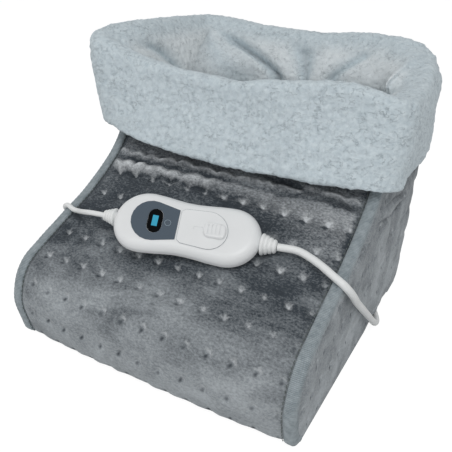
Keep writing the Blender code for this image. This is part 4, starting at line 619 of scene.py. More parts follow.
def pucker(across, along, pitch, row, seed):
    """How far a spot weld pulls the cloth in at a place, in metres, and its painted light and shade:
    above 0 a pale painted highlight round the weld, below 0 a painted shadow just below its middle."""
    column, line = round(across / pitch), round(along / row)
    stray = noise.cell_vector(Vector((column + 0.5, line + 0.5, seed)))
    side = across - column * pitch - 1.2 * MM * stray.x
    rise = along - line * row - 1.2 * MM * stray.y
    reach = math.hypot(side, rise)
    angle = math.atan2(rise, side)
    strength = 0.75 + 0.5 * abs(stray.z)
    pit = PUCKER_DEPTH * math.exp(-((reach / PUCKER_RADIUS) ** 2))
    pillow = PILLOW_DEPTH * math.exp(-((reach / PILLOW_RADIUS) ** 2))
    arms = math.cos(5 * angle + 9 * stray.z)
    star = 0.12 * MM * arms * math.exp(-(((reach - 3.6 * MM) / (2.2 * MM)) ** 2))
    # A pale painted highlight round the weld, and a painted shadow just below its middle
    painted_highlight = math.exp(-((math.hypot(side - 0.4 * MM, rise - 0.5 * MM) / (2.7 * MM + 0.35 * MM * arms)) ** 1.4))
    dark = math.exp(-((math.hypot(side + 0.9 * MM, rise + 2.0 * MM) / (2.1 * MM)) ** 2))
    return (pit + pillow) * strength + star, 1.15 * strength * painted_highlight - 1.1 * strength * dark


# Wrinkles that the collar's weight presses into the cloth: the place along the front at its middle,
# the lean to the right, height, width, how far it wanders, and its strength at the left and right
WRINKLES = (
    (0.2290, 0.010, 3.2 * MM, 2.2 * MM, 2.0 * MM, 1.0, 0.8),
    (0.2235, 0.010, -2.8 * MM, 2.0 * MM, 1.4 * MM, 1.0, 0.6),
    (0.2160, 0.020, 4.6 * MM, 4.6 * MM, 2.0 * MM, 1.0, 0.15),
    (0.2075, 0.020, -3.0 * MM, 2.2 * MM, 2.4 * MM, 1.0, 0.15),
    (0.1960, 0.020, 1.6 * MM, 4.6 * MM, 2.6 * MM, 0.8, 0.3),
    (0.2420, -0.130, -3.2 * MM, 2.0 * MM, 0.8 * MM, 0.0, 1.2),
)


def front_relief(x, stop, edge, end):
    """The cloth's height over the seam line at a place on the front panel, and its painted light and shade.
    """
    rise = ease(stop / CROWN_RISE)
    near_toe = 1 - ease((stop - 2 * CROWN_RISE) / (2 * CROWN_RISE))
    crown = SLOPE_CROWN + (TOE_CROWN - SLOPE_CROWN) * near_toe
    crown *= rise * ease((end - stop) / CROWN_RISE - 1)
    out = crown * (1 - (x / edge) ** 4)
    fade = ease((edge - abs(x)) / (7 * MM))
    pull, star = pucker(x - TUFT_FIRST[0], stop - TUFT_FIRST[1], TUFT_PITCH, TUFT_ROW, 3.0)
    under_hem = ease((stop - HEM_STOP) / (14 * MM))
    out -= pull * rise * fade * (1 - 0.6 * under_hem)
    # Painted light: paler under the hem, in the collar's shadow, and toward the right of the front
    begin, reach, strength = HEM_PAINTED_LIGHT
    tone = strength * ease((stop - begin) / reach) * fade
    begin, reach, strength = RIGHT_PAINTED_LIGHT
    tone += strength * ease(x / edge) * ease((stop - begin) / reach) * fade * (1 - under_hem)
    for place, lean, height, width, wander, left, right in WRINKLES:
        swing = 2 * noise.noise(Vector((x * 40, place, 0.5)))
        scallop = 1.5 * wander * abs(math.sin(x * 162 + place * 900 + swing))
        drift = lean * x + 2.2 * wander * noise.noise(Vector((x * 22, place * 90, 1.7))) + scallop
        beads = 0.35 + 0.75 * abs(noise.noise(Vector((x * 26, place * 130, 8.1))))
        beads += 0.9 * abs(noise.noise(Vector((x * 95, place * 310, 3.3))))
        strength = (left + (right - left) * ease(x / edge + 0.5)) * beads
        press = height * strength * fade * math.exp(-(((stop - place - drift) / width) ** 2))
        out += press
        # Painted light and shade on the crease: paler on its crest, darker in its groove
        tone += CREASE_PAINTED_SHADING * press
    out += 1.0 * MM * noise.noise(Vector((x * 38, stop * 60, 4.4))) * fade * rise
    out += 0.9 * MM * noise.noise(Vector((x * 90, stop * 260, 6.6))) * fade * under_hem
    out += 0.5 * MM * noise.noise(Vector((x * 110, stop * 150, 2.2))) * fade
    out -= 1.3 * MM * math.exp(-(((edge - abs(x)) / (3 * MM)) ** 2))
    return out, star * fade * ease(stop / 0.012) * (1 - under_hem) + tone


def keep_painted_light(piece, values):
    """Keeps the painted light and shade at each point of a piece's shown side, for its material."""
    kept = np.zeros(len(piece.data.vertices), np.float32)
    kept[: len(values)] = values
    piece.data.attributes.new("painted_light", "FLOAT", "POINT").data.foreach_set("value", kept)
    return piece


def sheet_skin(name, outside, inside, material):
    """A quilted sheet: a fine outer grid, and a plain lining that its rim is sewn to."""
    rows, columns = len(outside), len(outside[0])
    points = [point for row in outside for point in row]
    base = len(points)
    points += [point for row in inside for point in (row[0], row[-1])]
    faces = []
    for row in range(rows - 1):
        for column in range(columns - 1):
            at = row * columns + column
            faces.append((at, at + 1, at + columns + 1, at + columns))
        low = base + 2 * row
        faces.append((low + 1, low, low + 2, low + 3))
        at = row * columns
        faces.append((at, at + columns, low + 2, low))
        faces.append((at + 2 * columns - 1, at + columns - 1, low + 1, low + 3))
    faces.append(tuple(range(columns - 1, -1, -1)) + (base, base + 1))
    top = (rows - 1) * columns
    faces.append(tuple(range(top, top + columns)) + (base + 2 * rows - 1, base + 2 * rows - 2))
    return mesh_piece(name, points, faces, material)


edge = HALF_WIDTH - BINDING_WIDTH
end = run_of(front_line)
columns = np.linspace(-edge, edge, 270)
stops = np.linspace(-PANEL_TUCK, end, 350)
places, outs = front_places(stops)
outside, inside, painted_light_values = [], [], []
for stop, (y, z), (out_y, out_z) in zip(stops, places, outs):
    row = []
    for x in columns:
        out, star = front_relief(x, stop, edge, end)
        painted_light_values.append(star)
        row.append((x, y + out * out_y, max(z + out * out_z, 0.0)))
    outside.append(row)
    inner = (y - PANEL_THICKNESS * out_y, max(z - PANEL_THICKNESS * out_z, 0.5 * PANEL_THICKNESS))
    inside.append([(-edge, *inner), (edge, *inner)])
front_quilt = keep_painted_light(sheet_skin("front_quilt", outside, inside, flannel), painted_light_values)
show(front_quilt, "flannel", "front_panel")


# The side panels
# Each gusset is one quilted piece from the front seam round the heel. It stands almost flat,
# with soft upright folds where the cloth is slack between its welds.
def front_of(height):
    """Where the front seam stands at a height."""
    tip = int(np.argmin(front_line[:, 0]))
    line = front_line[: tip + 1] if height < front_line[tip, 1] else front_line[tip:]
    return float(np.interp(height, line[:, 1], line[:, 0]))


def shell_height(y):
    """The shell's top edge, which rises from the front of the shaft to the heel."""
    share = (y - FRONT_WALL_Y) / (HEEL_Y - FRONT_WALL_Y)
    return SHELL_FRONT_HEIGHT + min(max(share, 0.0), 1.0) * (SHELL_BACK_HEIGHT - SHELL_FRONT_HEIGHT)


GUSSET_SWELL = 2.0 * MM
LEAD_HEADROOM = 7.2 * MM
# Folds and creases of a gusset: where each starts and ends (y, z), its height and its width
GUSSET_FOLDS = (
    ((-0.010, 0.150), (0.045, 0.085), 1.8 * MM, 7.0 * MM),
    ((0.020, 0.160), (0.085, 0.120), 1.6 * MM, 8.0 * MM),
    ((-0.060, 0.090), (-0.020, 0.030), 1.2 * MM, 8.0 * MM),
    ((0.060, 0.110), (0.110, 0.040), 1.2 * MM, 9.0 * MM),
    ((-0.026, 0.1285), (0.116, 0.1135), -3.4 * MM, 1.9 * MM),
    ((-0.020, 0.1345), (0.100, 0.1200), 2.6 * MM, 3.6 * MM),
    ((-0.022, 0.1425), (0.107, 0.1235), -2.6 * MM, 1.8 * MM),
    ((-0.008, 0.1530), (-0.008, 0.1340), -2.0 * MM, 1.6 * MM),
)


def beside(point, start, stop):
    """Distance of a point from a line between two places, and how far along it lies."""
    way = (stop[0] - start[0], stop[1] - start[1])
    reach = (point[0] - start[0], point[1] - start[1])
    share = (reach[0] * way[0] + reach[1] * way[1]) / (way[0] ** 2 + way[1] ** 2)
    share = min(max(share, 0.0), 1.0)
    return math.hypot(reach[0] - share * way[0], reach[1] - share * way[1]), share


def gusset_relief(y, z, side, rim):
    """The cloth's height over the flat side at a place, and its painted light and shade; rim is 0 at the
    panel's edge and 1 inside.
    """
    pull, star = pucker(y - 0.1 * TUFT_PITCH, z - 0.4 * TUFT_ROW, TUFT_PITCH, TUFT_ROW, 5.0 + side)
    out = GUSSET_SWELL * rim - 0.6 * rim * pull
    tone = 0.0
    for start_at, stop_at, height, width in GUSSET_FOLDS:
        away, share = beside((y, z), start_at, stop_at)
        press = height * rim * math.sin(math.pi * min(max(share, 0.05), 0.95))
        press *= math.exp(-((away / width) ** 2))
        out += press
        # Painted light and shade on narrow creases: paler on a crest, darker in a groove
        tone += CREASE_PAINTED_SHADING * press if width < CREASE_WIDTH else 0.0
    out += 1.6 * MM * rim * noise.noise(Vector((y * 30, z * 22, 9.0 * side)))
    out += 0.5 * MM * rim * noise.noise(Vector((y * 120, z * 120, 3.0 * side)))
    return out, 1.3 * rim * star + tone


def hem_height(side, y):
    """Height of a gusset's hem: the right one arches over the mains lead that passes under it."""
    arch = ease((y - 0.021) / 0.020) * ease((0.111 - y) / 0.020)
    return LEAD_HEADROOM * max(arch, ease((y - 0.1405) / 0.005)) if side > 0 else 0.0


def gusset(name, side, node):
    """One side panel with its bend round the heel."""
    rows, straight, bend = 120, 150, 12
    back_y = HEEL_Y - HEEL_RADIUS
    outside, inside, painted_light_values = [], [], []
    for level in range(rows):
        share = level / (rows - 1)
        front = front_of(share * SHELL_FRONT_HEIGHT) + 0.5 * BINDING_WIDTH
        row, skin = [], []
        for step in range(straight + bend):
            bent = max(step + 1 - straight, 0) / bend
            angle = math.pi / 2 * bent
            flat_y = front + min(step / (straight - 1), 1.0) * (back_y - front)
            y = flat_y + HEEL_RADIUS * math.sin(angle)
            hem = hem_height(side, y)
            z = hem + share * (shell_height(y) - hem)
            top = SHELL_BACK_HEIGHT if bent else shell_height(y)
            rim = ease(z / RIM_FADE) * ease((top - z) / RIM_FADE) * ease((y - front) / RIM_FADE)
            out, star = gusset_relief(flat_y + angle * HEEL_RADIUS, z, side, rim)
            painted_light_values.append(star * (1 - bent))
            for line, reach in ((row, HEEL_RADIUS + out * (1 - bent)), (skin, HEEL_RADIUS - PANEL_THICKNESS)):
                x = HALF_WIDTH - HEEL_RADIUS + reach * math.cos(angle)
                line.append((side * x, flat_y + reach * math.sin(angle), z))
        outside.append(row)
        inside.append(skin)
    # The sides take the flannel that is painted paler, as painted light
    piece = keep_painted_light(thick_grid(name, outside, inside, painted_paler_flannel), painted_light_values)
    return show(piece, "flannel", node)


def thick_grid(name, outside, inside, material):
    """A thick sheet whose two faces have the same grid of points."""
    rows, columns = len(outside), len(outside[0])
    points = [point for grid in (outside, inside) for row in grid for point in row]
    other = rows * columns
    faces = []
    for row in range(rows - 1):
        for column in range(columns - 1):
            at = row * columns + column
            faces.append((at, at + 1, at + columns + 1, at + columns))
            at += other
            faces.append((at, at + columns, at + columns + 1, at + 1))
    rim = list(range(columns))
    rim += [row * columns + columns - 1 for row in range(1, rows)]
    rim += [(rows - 1) * columns + column for column in range(columns - 2, -1, -1)]
    rim += [row * columns for row in range(rows - 2, 0, -1)]
    for index, at in enumerate(rim):
        following = rim[(index + 1) % len(rim)]
        faces.append((at, following, following + other, at + other))
    return mesh_piece(name, points, faces, material)


gusset("left_side_quilt", -1, "left_gusset")
gusset("right_side_quilt", 1, "right_gusset")

# The back panel and the sole
# The back of the boot is the same quilted flannel, welded all over in a grid. The sole is flat,
# its welds show as shallow dents, and its right edge leaves room for the mains lead.
LEAD_SOLE_EDGE = 0.1165
reach = HALF_WIDTH - HEEL_RADIUS
columns = np.linspace(-reach, reach, 120)
outside, inside, painted_light_values = [], [], []
for z in np.linspace(0.0, SHELL_BACK_HEIGHT, 120):
    row = []
    for x in columns:
        rim = ease(z / RIM_FADE) * ease((SHELL_BACK_HEIGHT - z) / RIM_FADE)
        rim *= ease((reach - abs(x)) / (0.5 * RIM_FADE))
        pull, star = pucker(x, z - 0.4 * TUFT_ROW, TUFT_PITCH, TUFT_ROW, 11.0)
        painted_light_values.append(0.6 * rim * star)
        out = 1.5 * MM * rim - 0.5 * rim * pull
        out += 1.2 * MM * rim * noise.noise(Vector((x * 30, z * 30, 6.0)))
        row.append((x, HEEL_Y + out, z))
    outside.append(row)
    inside.append([(x, HEEL_Y - PANEL_THICKNESS, z) for x in columns])
# The back takes the flannel of the sides, painted paler, as painted light
back_quilt = keep_painted_light(thick_grid("back_quilt", outside, inside, painted_paler_flannel), painted_light_values)
show(back_quilt, "flannel", "back_panel")

sole_low, sole_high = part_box("base_panel")
outside, inside = [], []
for y in np.linspace(sole_low.y, sole_high.y, 120):
    row = []
    limit = sole_high.x + (LEAD_SOLE_EDGE - sole_high.x) * ease((y - 0.036) / 0.022)
    for x in np.linspace(sole_low.x, limit, 110):
        rim = ease(min(limit - x, x - sole_low.x) / (10 * MM))
        rim *= ease(min(y - sole_low.y, sole_high.y - y) / (10 * MM))
        row.append((x, y, 0.5 * rim * pucker(x, y, TUFT_PITCH, TUFT_ROW, 17.0)[0]))
    outside.append(row)
    inside.append([(x, y, PANEL_THICKNESS) for x, y, z in row])
sole_quilt = thick_grid("sole_quilt", outside, inside, flannel)
show(sole_quilt, "flannel", "base_panel")

# The bindings
# A ribbed polyester tape is folded over each front seam and sewn through with one row of
# lockstitch, which lies in a small furrow beside it.
BINDING_PROUD = 1.2 * MM
STITCH_LENGTH = 3.2 * MM
STITCH_GAP = 1.1 * MM
STITCH_START = 12.0 * MM
# A stitch from end to end: the thread's radius, and how far it stands out of the cloth
STITCH_RADII = (0.1 * MM, 0.3 * MM, 0.34 * MM, 0.3 * MM, 0.1 * MM)
STITCH_RISES = (-0.5 * MM, 0.05 * MM, 0.15 * MM, 0.05 * MM, -0.5 * MM)
THREAD_SIDES = 6
RIB_SPACING = 1.3 * MM


def ribbed_tape(name, dark, light):
    """Woven tape: fine ribs run across its length, drawn coarser than real ones so that they show."""
    material, tree = finish(name)
    along = add(tree, "Attribute", attribute_name="tape_run").outputs["Fac"]
    ribs = add(tree, "Math", {0: along, 1: 2 * math.pi / RIB_SPACING}, operation="MULTIPLY")
    wave = add(tree, "Math", {0: ribs}, operation="SINE")
    where = add(tree, "TexCoord").outputs["Object"]
    wear = add(tree, "TexNoise", {"Vector": where, "Scale": 220.0, "Detail": 4.0})
    both = add(tree, "Math", {0: wave, 1: 0.15, 2: wear}, operation="MULTIPLY_ADD")
    tones = add(tree, "ValToRGB", {"Fac": both}, stops=((0.25, linear(dark)), (0.75, linear(light))))
    bump = add(tree, "Bump", {"Strength": 0.7, "Distance": 0.3 * MM, "Height": wave})
    surface(tree, add(tree, "BsdfPrincipled", {
        "Base Color": tones,
        "Roughness": 0.78,
        "Specular IOR Level": 0.3,
        "Sheen Weight": 0.15,
        "Normal": bump,
    }))
    return material


bias_tape = ribbed_tape("polyester_bias_tape_ribbed", "#7f8a90", "#a9b3b8")
sewing_thread = moulded("polyester_thread_spun", "#59625f", 0.7, 0.5 * MM, 0.1 * MM)


def binding(name, side, node):
    """The tape round one front seam, slightly pinched at each stitch."""
    count = 420
    stops = np.linspace(0.0, end, count)
    places, outs = front_places(stops)
    inner_x, outer_x = HALF_WIDTH - BINDING_WIDTH - 0.2 * MM, HALF_WIDTH + 1.0 * MM
    rings = []
    for stop, (y, z), (out_y, out_z) in zip(stops, places, outs):
        pinch = 0.25 * MM * math.cos(2 * math.pi * stop / (STITCH_LENGTH + STITCH_GAP))
        pinch += 0.5 * MM * noise.noise(Vector((stop * 60, side * 3.0, 0.3)))
        proud = BINDING_PROUD * ease(stop / 0.02) + 0.5 * pinch
        corners = (
            (inner_x, -BINDING_WIDTH),
            (outer_x - 0.6 * MM, -BINDING_WIDTH),
            (outer_x + pinch, -0.5 * BINDING_WIDTH),
            (outer_x, proud - 2.6 * MM),
            (outer_x - 0.7 * MM, proud - 0.9 * MM),
            (outer_x - 2.4 * MM, proud),
            (inner_x + 2.6 * MM, proud),
            (inner_x + 0.8 * MM, proud - 0.4 * MM),
            (inner_x, proud - 1.4 * MM),
        )
        rings.append([(side * x, y + out * out_y, max(z + out * out_z, 0.0)) for x, out in corners])
    piece = lofted(name, rings, bias_tape)
    run = piece.data.attributes.new("tape_run", "FLOAT", "POINT")
    run.data.foreach_set("value", np.repeat(stops, len(rings[0])).astype(np.float32))
    return show(piece, "binding", node)


def stitches(name, side, place):
    """One row of lockstitch: a short rounded thread for each stitch."""
    points, faces = [], []
    for index in range(int((end - 0.02) / (STITCH_LENGTH + STITCH_GAP))):
        begin = STITCH_START + index * (STITCH_LENGTH + STITCH_GAP)
        places, outs = front_places(np.linspace(begin, begin + STITCH_LENGTH, len(STITCH_RADII)))
        rings = []
        for (y, z), (out_y, out_z), radius, raised in zip(places, outs, STITCH_RADII, STITCH_RISES):
            way = np.array([0.0, out_y, out_z])
            core = np.array([side * place, y, z]) + way * (BINDING_PROUD * 0.2 + raised)
            rings.append([
                core + radius * (np.array([math.cos(angle), 0, 0]) + way * math.sin(angle))
                for angle in np.arange(THREAD_SIDES) * 2 * math.pi / THREAD_SIDES
            ])
        thread_points, thread_faces = loft(rings)
        faces += [tuple(len(points) + at for at in face) for face in thread_faces]
        points += thread_points
    return show(mesh_piece(name, points, faces, sewing_thread), "binding")


for side, word in ((-1, "left"), (1, "right")):
    binding(f"{word}_tape", side, f"{word}_binding")
    stitches(f"{word}_stitches", side, HALF_WIDTH - BINDING_WIDTH - 1.1 * MM)

# The sherpa collar
# The boot's removable liner is sherpa fleece, and its top band is turned down over the shell as a
# thick soft collar. The short pile curls into clumps of 3 to 5 mm, and the hem is a thin edge.
CUFF_RIM = 0.262
CUFF_HEM = 0.160
CUFF_BULGE = 18.2 * MM
CUFF_FLARE = 31.0 * MM
CUFF_ROLL = 7.0 * MM
CUFF_SLOT = 3.8 * MM
CUFF_WALL = 12.0 * MM
CUFF_LEG = 9.0 * MM
CUFF_FRONT_CORNER = 5.0 * MM
CUFF_INNER_ROUND = 2.4
CUFF_LOW = 0.167
SHAFT_STATIONS = 37.0
CUFF_RINGS = 640
CUFF_STEPS = 132
PILE_CLUMP = 4.2 * MM
PILE_DEPTH = 0.9 * MM
# Once round the shaft from the middle of the front, rightwards: place, rim height, hem height,
# top bulge, hem flare, how far the rim leans in, and how far the inner side puffs into the shaft
CUFF_SHARES = (
    (0.000, 0.868, 0.985, 0.860, 1.000, 0.00, 0.2),
    (0.030, 0.885, 0.985, 0.860, 1.000, 0.00, 0.2),
    (0.064, 0.898, 0.995, 0.860, 1.000, 0.00, 0.2),
    (0.100, 0.916, 1.010, 0.880, 1.000, 0.00, 0.2),
    (0.128, 0.906, 1.018, 0.900, 0.960, 0.00, 0.2),
    (0.148, 0.889, 1.012, 0.900, 0.800, 0.00, 0.2),
    (0.172, 0.884, 1.000, 0.860, 0.430, 0.00, 0.3),
    (0.230, 0.900, 0.975, 0.860, 0.340, 0.10, 0.6),
    (0.280, 0.928, 0.970, 0.700, 0.320, 0.25, 0.8),
    (0.325, 0.945, 0.975, 0.400, 0.280, 0.50, 0.8),
    (0.360, 0.965, 0.980, 0.380, 0.250, 0.60, 0.7),
    (0.390, 0.992, 0.985, 0.560, 0.360, 0.30, 1.0),
    (0.430, 0.996, 0.985, 0.820, 0.450, 0.00, 1.3),
    (0.500, 0.976, 0.985, 0.920, 0.450, 0.00, 1.35),
    (0.570, 0.984, 0.985, 0.920, 0.450, 0.00, 1.3),
    (0.640, 1.004, 0.990, 0.940, 0.380, 0.00, 1.0),
    (0.700, 1.008, 1.000, 1.060, 0.360, 0.00, 0.8),
    (0.770, 1.004, 1.020, 1.080, 0.400, 0.00, 0.7),
    (0.805, 1.000, 1.040, 1.220, 0.460, 0.00, 0.5),
    (0.828, 0.990, 1.060, 1.480, 0.420, 0.00, 0.3),
    (0.840, 0.973, 1.070, 1.600, 0.500, 0.00, 0.2),
    (0.855, 0.948, 1.078, 1.360, 0.680, 0.00, 0.2),
    (0.885, 0.900, 1.050, 0.920, 0.900, 0.00, 0.2),
    (0.910, 0.892, 1.020, 0.880, 1.000, 0.00, 0.2),
    (0.950, 0.876, 1.000, 0.860, 1.000, 0.00, 0.2),
)


def sherpa_pile(name, deep, ground, tips):
    """Curly fleece: matt pale clumps, parted by thin winding crevices with painted shade in them. Inside the
    collar the pile is painted paler, as painted light, and painted darker where it is folded, as painted
    shade."""
    material, tree = finish(name)
    where = add(tree, "TexCoord").outputs["Object"]
    clumps = add(tree, "TexNoise", {
        "Vector": where, "Scale": 1.1 / PILE_CLUMP, "Detail": 4.0, "Roughness": 0.65, "Distortion": 0.4,
    })
    tones = add(tree, "ValToRGB", {"Fac": clumps}, stops=((0.32, linear(ground)), (0.70, linear(tips))))
    flat = add(tree, "Mapping", {"Vector": where, "Scale": (1.0, 1.0, 1.7)})
    winding = add(tree, "TexNoise", {
        "Vector": flat, "Scale": 0.62 / PILE_CLUMP, "Detail": 3.0, "Roughness": 0.5, "Distortion": 0.5,
    })
    level = add(tree, "Math", {0: winding, 1: 0.5}, operation="SUBTRACT")
    away = add(tree, "Math", {0: level}, operation="ABSOLUTE")
    thin = add(tree, "MapRange", {"Value": away, "From Max": 0.024, "To Min": 1.0, "To Max": 0.0})
    patches = add(tree, "TexNoise", {"Vector": where, "Scale": 110.0, "Detail": 2.0})
    broken = add(tree, "MapRange", {"Value": patches, "From Min": 0.36, "From Max": 0.62})
    crevice = add(tree, "Math", {0: thin, 1: broken}, operation="MULTIPLY")
    painted_light_and_shade = add(tree, "Attribute", attribute_name="painted_light").outputs["Fac"]
    # Painted light: the pile is painted paler inside the collar
    painted_lightening = add(tree, "MapRange", {"Value": painted_light_and_shade, "To Max": 0.45})
    inner = add(tree, "Mix", {"Factor": painted_lightening, "A": tones, "B": linear("#f6f8f8")}, data_type="RGBA")
    # Painted shade in the folds of the inner side
    fold_shade_mask = add(tree, "MapRange", {"Value": painted_light_and_shade, "From Max": -1.0, "To Max": 0.5})
    fold_shaded = add(tree, "Mix", {"Factor": fold_shade_mask, "A": inner, "B": linear("#7d7f82")}, data_type="RGBA")
    # Painted shade in the crevices between the clumps
    crevice_shade_mask = add(tree, "Math", {0: crevice, 1: 0.52}, operation="MULTIPLY")
    shade = add(tree, "Mix", {"Factor": crevice_shade_mask, "A": fold_shaded, "B": linear(deep)}, data_type="RGBA")
    fuzz = add(tree, "TexNoise", {"Vector": where, "Scale": 1200.0, "Detail": 3.0, "Roughness": 0.65})
    height = add(tree, "Math", {0: crevice, 1: -0.7, 2: clumps}, operation="MULTIPLY_ADD")
    raised = add(tree, "Bump", {"Strength": 0.6, "Distance": 1.1 * MM, "Height": height})
    bump = add(tree, "Bump", {"Strength": 0.6, "Distance": 0.4 * MM, "Height": fuzz, "Normal": raised})
    surface(tree, add(tree, "BsdfPrincipled", {
        "Base Color": shade,
        "Roughness": 0.95,
        "Specular IOR Level": 0.15,
        "Sheen Weight": 0.2,
        "Sheen Roughness": 0.6,
        "Sheen Tint": linear("#eef3f5"),
        "Normal": bump,
    }))
    return material


# The first colour is the painted shade in the crevices
sherpa = sherpa_pile("sherpa_fleece_curled", "#7c8991", "#bcc9d0", "#d6e1e6")


def shaft_place(station, out):
    """A place beside the shaft at a station, moved out from the shell. A station counts one for
    each straight run and eight for each of the four corners."""
    wide, low, high = HALF_WIDTH + out, FRONT_WALL_Y - out, HEEL_Y + out
    far_out = max(out - CUFF_SLOT, 0.0)
    right = max(CUFF_FRONT_CORNER + out + 0.25 * far_out, CUFF_SLOT)
    left = max(CUFF_FRONT_CORNER + out - 0.45 * far_out, CUFF_SLOT)
    rear = max(HEEL_RADIUS + out, CUFF_SLOT)
    deep = CUFF_INNER_ROUND * max(-out - CUFF_SLOT - CUFF_LEG + 3 * MM, 0.0)
    right, left, rear = right + deep, left + deep, rear + 1.3 * deep
    corners = (
        (wide - right, low + right, right, -90),
        (wide - rear, high - rear, rear, 0),
        (rear - wide, high - rear, rear, 90),
        (left - wide, low + left, left, 180),
    )
    if station <= 1.0:
        return station * (wide - right), low
    corner = min(int((station - 1) // 9), 3)
    place = station - 1 - 9 * corner
    x, y, radius, begin = corners[corner]
    angle = math.radians(begin + 90 * min(place, 8.0) / 8)
    x, y = x + radius * math.cos(angle), y + radius * math.sin(angle)
    if place <= 8.0:
        return x, y
    share = place - 8.0
    if corner == 3:
        return x * (1 - share), y
    next_x, next_y, next_radius, next_begin = corners[corner + 1]
    angle = math.radians(next_begin)
    next_x, next_y = next_x + next_radius * math.cos(angle), next_y + next_radius * math.sin(angle)
    return x + share * (next_x - x), y + share * (next_y - y)


def around_shaft(count):
    """Evenly spread stations and their shares of the way round."""
    fine = np.linspace(0.0, SHAFT_STATIONS, 1481)
    line = np.array([shaft_place(station, CUFF_BULGE / 2) for station in fine])
    along = np.concatenate([[0.0], np.cumsum(np.linalg.norm(np.diff(line, axis=0), axis=1))])
    wanted = np.linspace(0.0, along[-1], count, endpoint=False)
    return np.interp(wanted, along, fine), wanted / along[-1]


def cuff_sizes(share):
    """The table's values at a place round the shaft, eased between its rows."""
    table = np.array(CUFF_SHARES)
    knots = np.concatenate([table[:, 0] - 1.0, table[:, 0], table[:, 0] + 1.0])
    near = np.linspace(share - 0.016, share + 0.016, 9)
    weights = np.array([1, 3, 6, 9, 10, 9, 6, 3, 1], float)
    return [
        float(np.average(np.interp(near, knots, np.tile(column, 3)), weights=weights))
        for column in table[:, 1:].T
    ]


# Soft creases that run down the inner side: places round the shaft at the rim and a step below it,
# their width, and their depth
INNER_FOLDS = (
    (0.617, 0.574, 0.018, 11.0 * MM),
    (0.513, 0.489, 0.017, 9.0 * MM),
    (0.812, 0.775, 0.014, 7.0 * MM),
    (0.212, 0.235, 0.024, 3.0 * MM),
    (0.425, 0.412, 0.016, 7.0 * MM),
    (0.660, 0.640, 0.014, 5.0 * MM),
)
FOLD_TOP = 0.245
FOLD_DROP = 0.045
FOLD_STEP = 74
# A fold this deep cancels the painted light inside, and one twice as deep gets the full painted shade
FOLD_SHADE_DEPTH = 6.0 * MM


def folded(share, z):
    """How deep the creases of the inner side are at a place."""
    down = (FOLD_TOP - z) / FOLD_DROP
    shade = ease(down / 0.35 + 0.5) * ease(2.4 - down)
    return shade * sum(
        depth * math.exp(-(abs(share - high - (low - high) * down) / width) ** 1.5)
        for high, low, width, depth in INNER_FOLDS
    )


def cuff_section(station, share):
    """The collar's section at a station: up the outside, over the rim and down inside."""
    rim, hem, bulge, flare, lean, puff = cuff_sizes(share)
    rim, hem, lean = rim * CUFF_RIM, hem * CUFF_HEM, lean * CUFF_BULGE
    bulge, flare = bulge * CUFF_BULGE, flare * CUFF_FLARE
    angle = 2 * math.pi * share
    hem += 1.5 * MM * noise.noise(Vector((math.cos(angle) * 5, math.sin(angle) * 5, 0.4)))
    inside = BINDING_WIDTH + SEAM_GAP
    top = shell_height(shaft_place(station, 0.0)[1]) + SEAM_GAP
    leg = inside + CUFF_LEG + 9.0 * MM * puff
    drop = rim - hem
    wall = min(CUFF_WALL, 0.5 * flare)
    hem_in = max(flare - wall, CUFF_SLOT)
    crest = bulge - lean
    over = crest - 2.2 * CUFF_ROLL
    tall = ease((rim - top - 18 * MM) / (10 * MM))
    knots = (
        (flare - 0.55 * wall, hem + 0.6 * MM),
        (flare - 0.15 * wall, hem - 0.4 * MM),
        (flare, hem + CUFF_ROLL / 3),
        (flare + (bulge - flare) * 0.22, hem + 0.15 * drop),
        (flare + (bulge - flare) * 0.50, hem + 0.32 * drop),
        (flare + (bulge - flare) * 0.86, hem + 0.55 * drop),
        (bulge, hem + 0.74 * drop),
        (crest - 0.1 * CUFF_ROLL, rim - 0.9 * CUFF_ROLL),
        (crest - 0.45 * CUFF_ROLL, rim - 0.25 * CUFF_ROLL),
        (crest - 1.2 * CUFF_ROLL, rim),
        (over, rim - 0.25 * CUFF_ROLL),
        (0.5 * over - (0.5 - 0.25 * tall) * leg - 0.5 * lean, rim - (0.8 + 0.6 * tall) * CUFF_ROLL),
        (-(1 - 0.45 * tall) * leg - lean, rim - (1.9 + 1.4 * tall) * CUFF_ROLL),
        (-(1 - 0.15 * tall) * leg - lean / 2, rim - (3.6 + 2.0 * tall) * CUFF_ROLL),
        (-leg + 0.2 * puff * CUFF_ROLL, 0.5 * (rim + CUFF_LOW) - CUFF_ROLL),
        (-leg + 0.6 * puff * CUFF_ROLL, CUFF_LOW + CUFF_ROLL),
        (-inside - CUFF_LEG, CUFF_LOW),
        (-inside, CUFF_LOW),
        (-inside, top),
        (CUFF_SLOT, top),
        (CUFF_SLOT, top - 0.35 * (top - hem)),
        (max(hem_in * 0.6, CUFF_SLOT), hem + 0.30 * drop),
        (hem_in, hem + 1.0 * MM),
    )
    shown = spread(smooth_curve(knots[:17], 10), CUFF_STEPS)
    return [*shown[:-1], *knots[16:]]


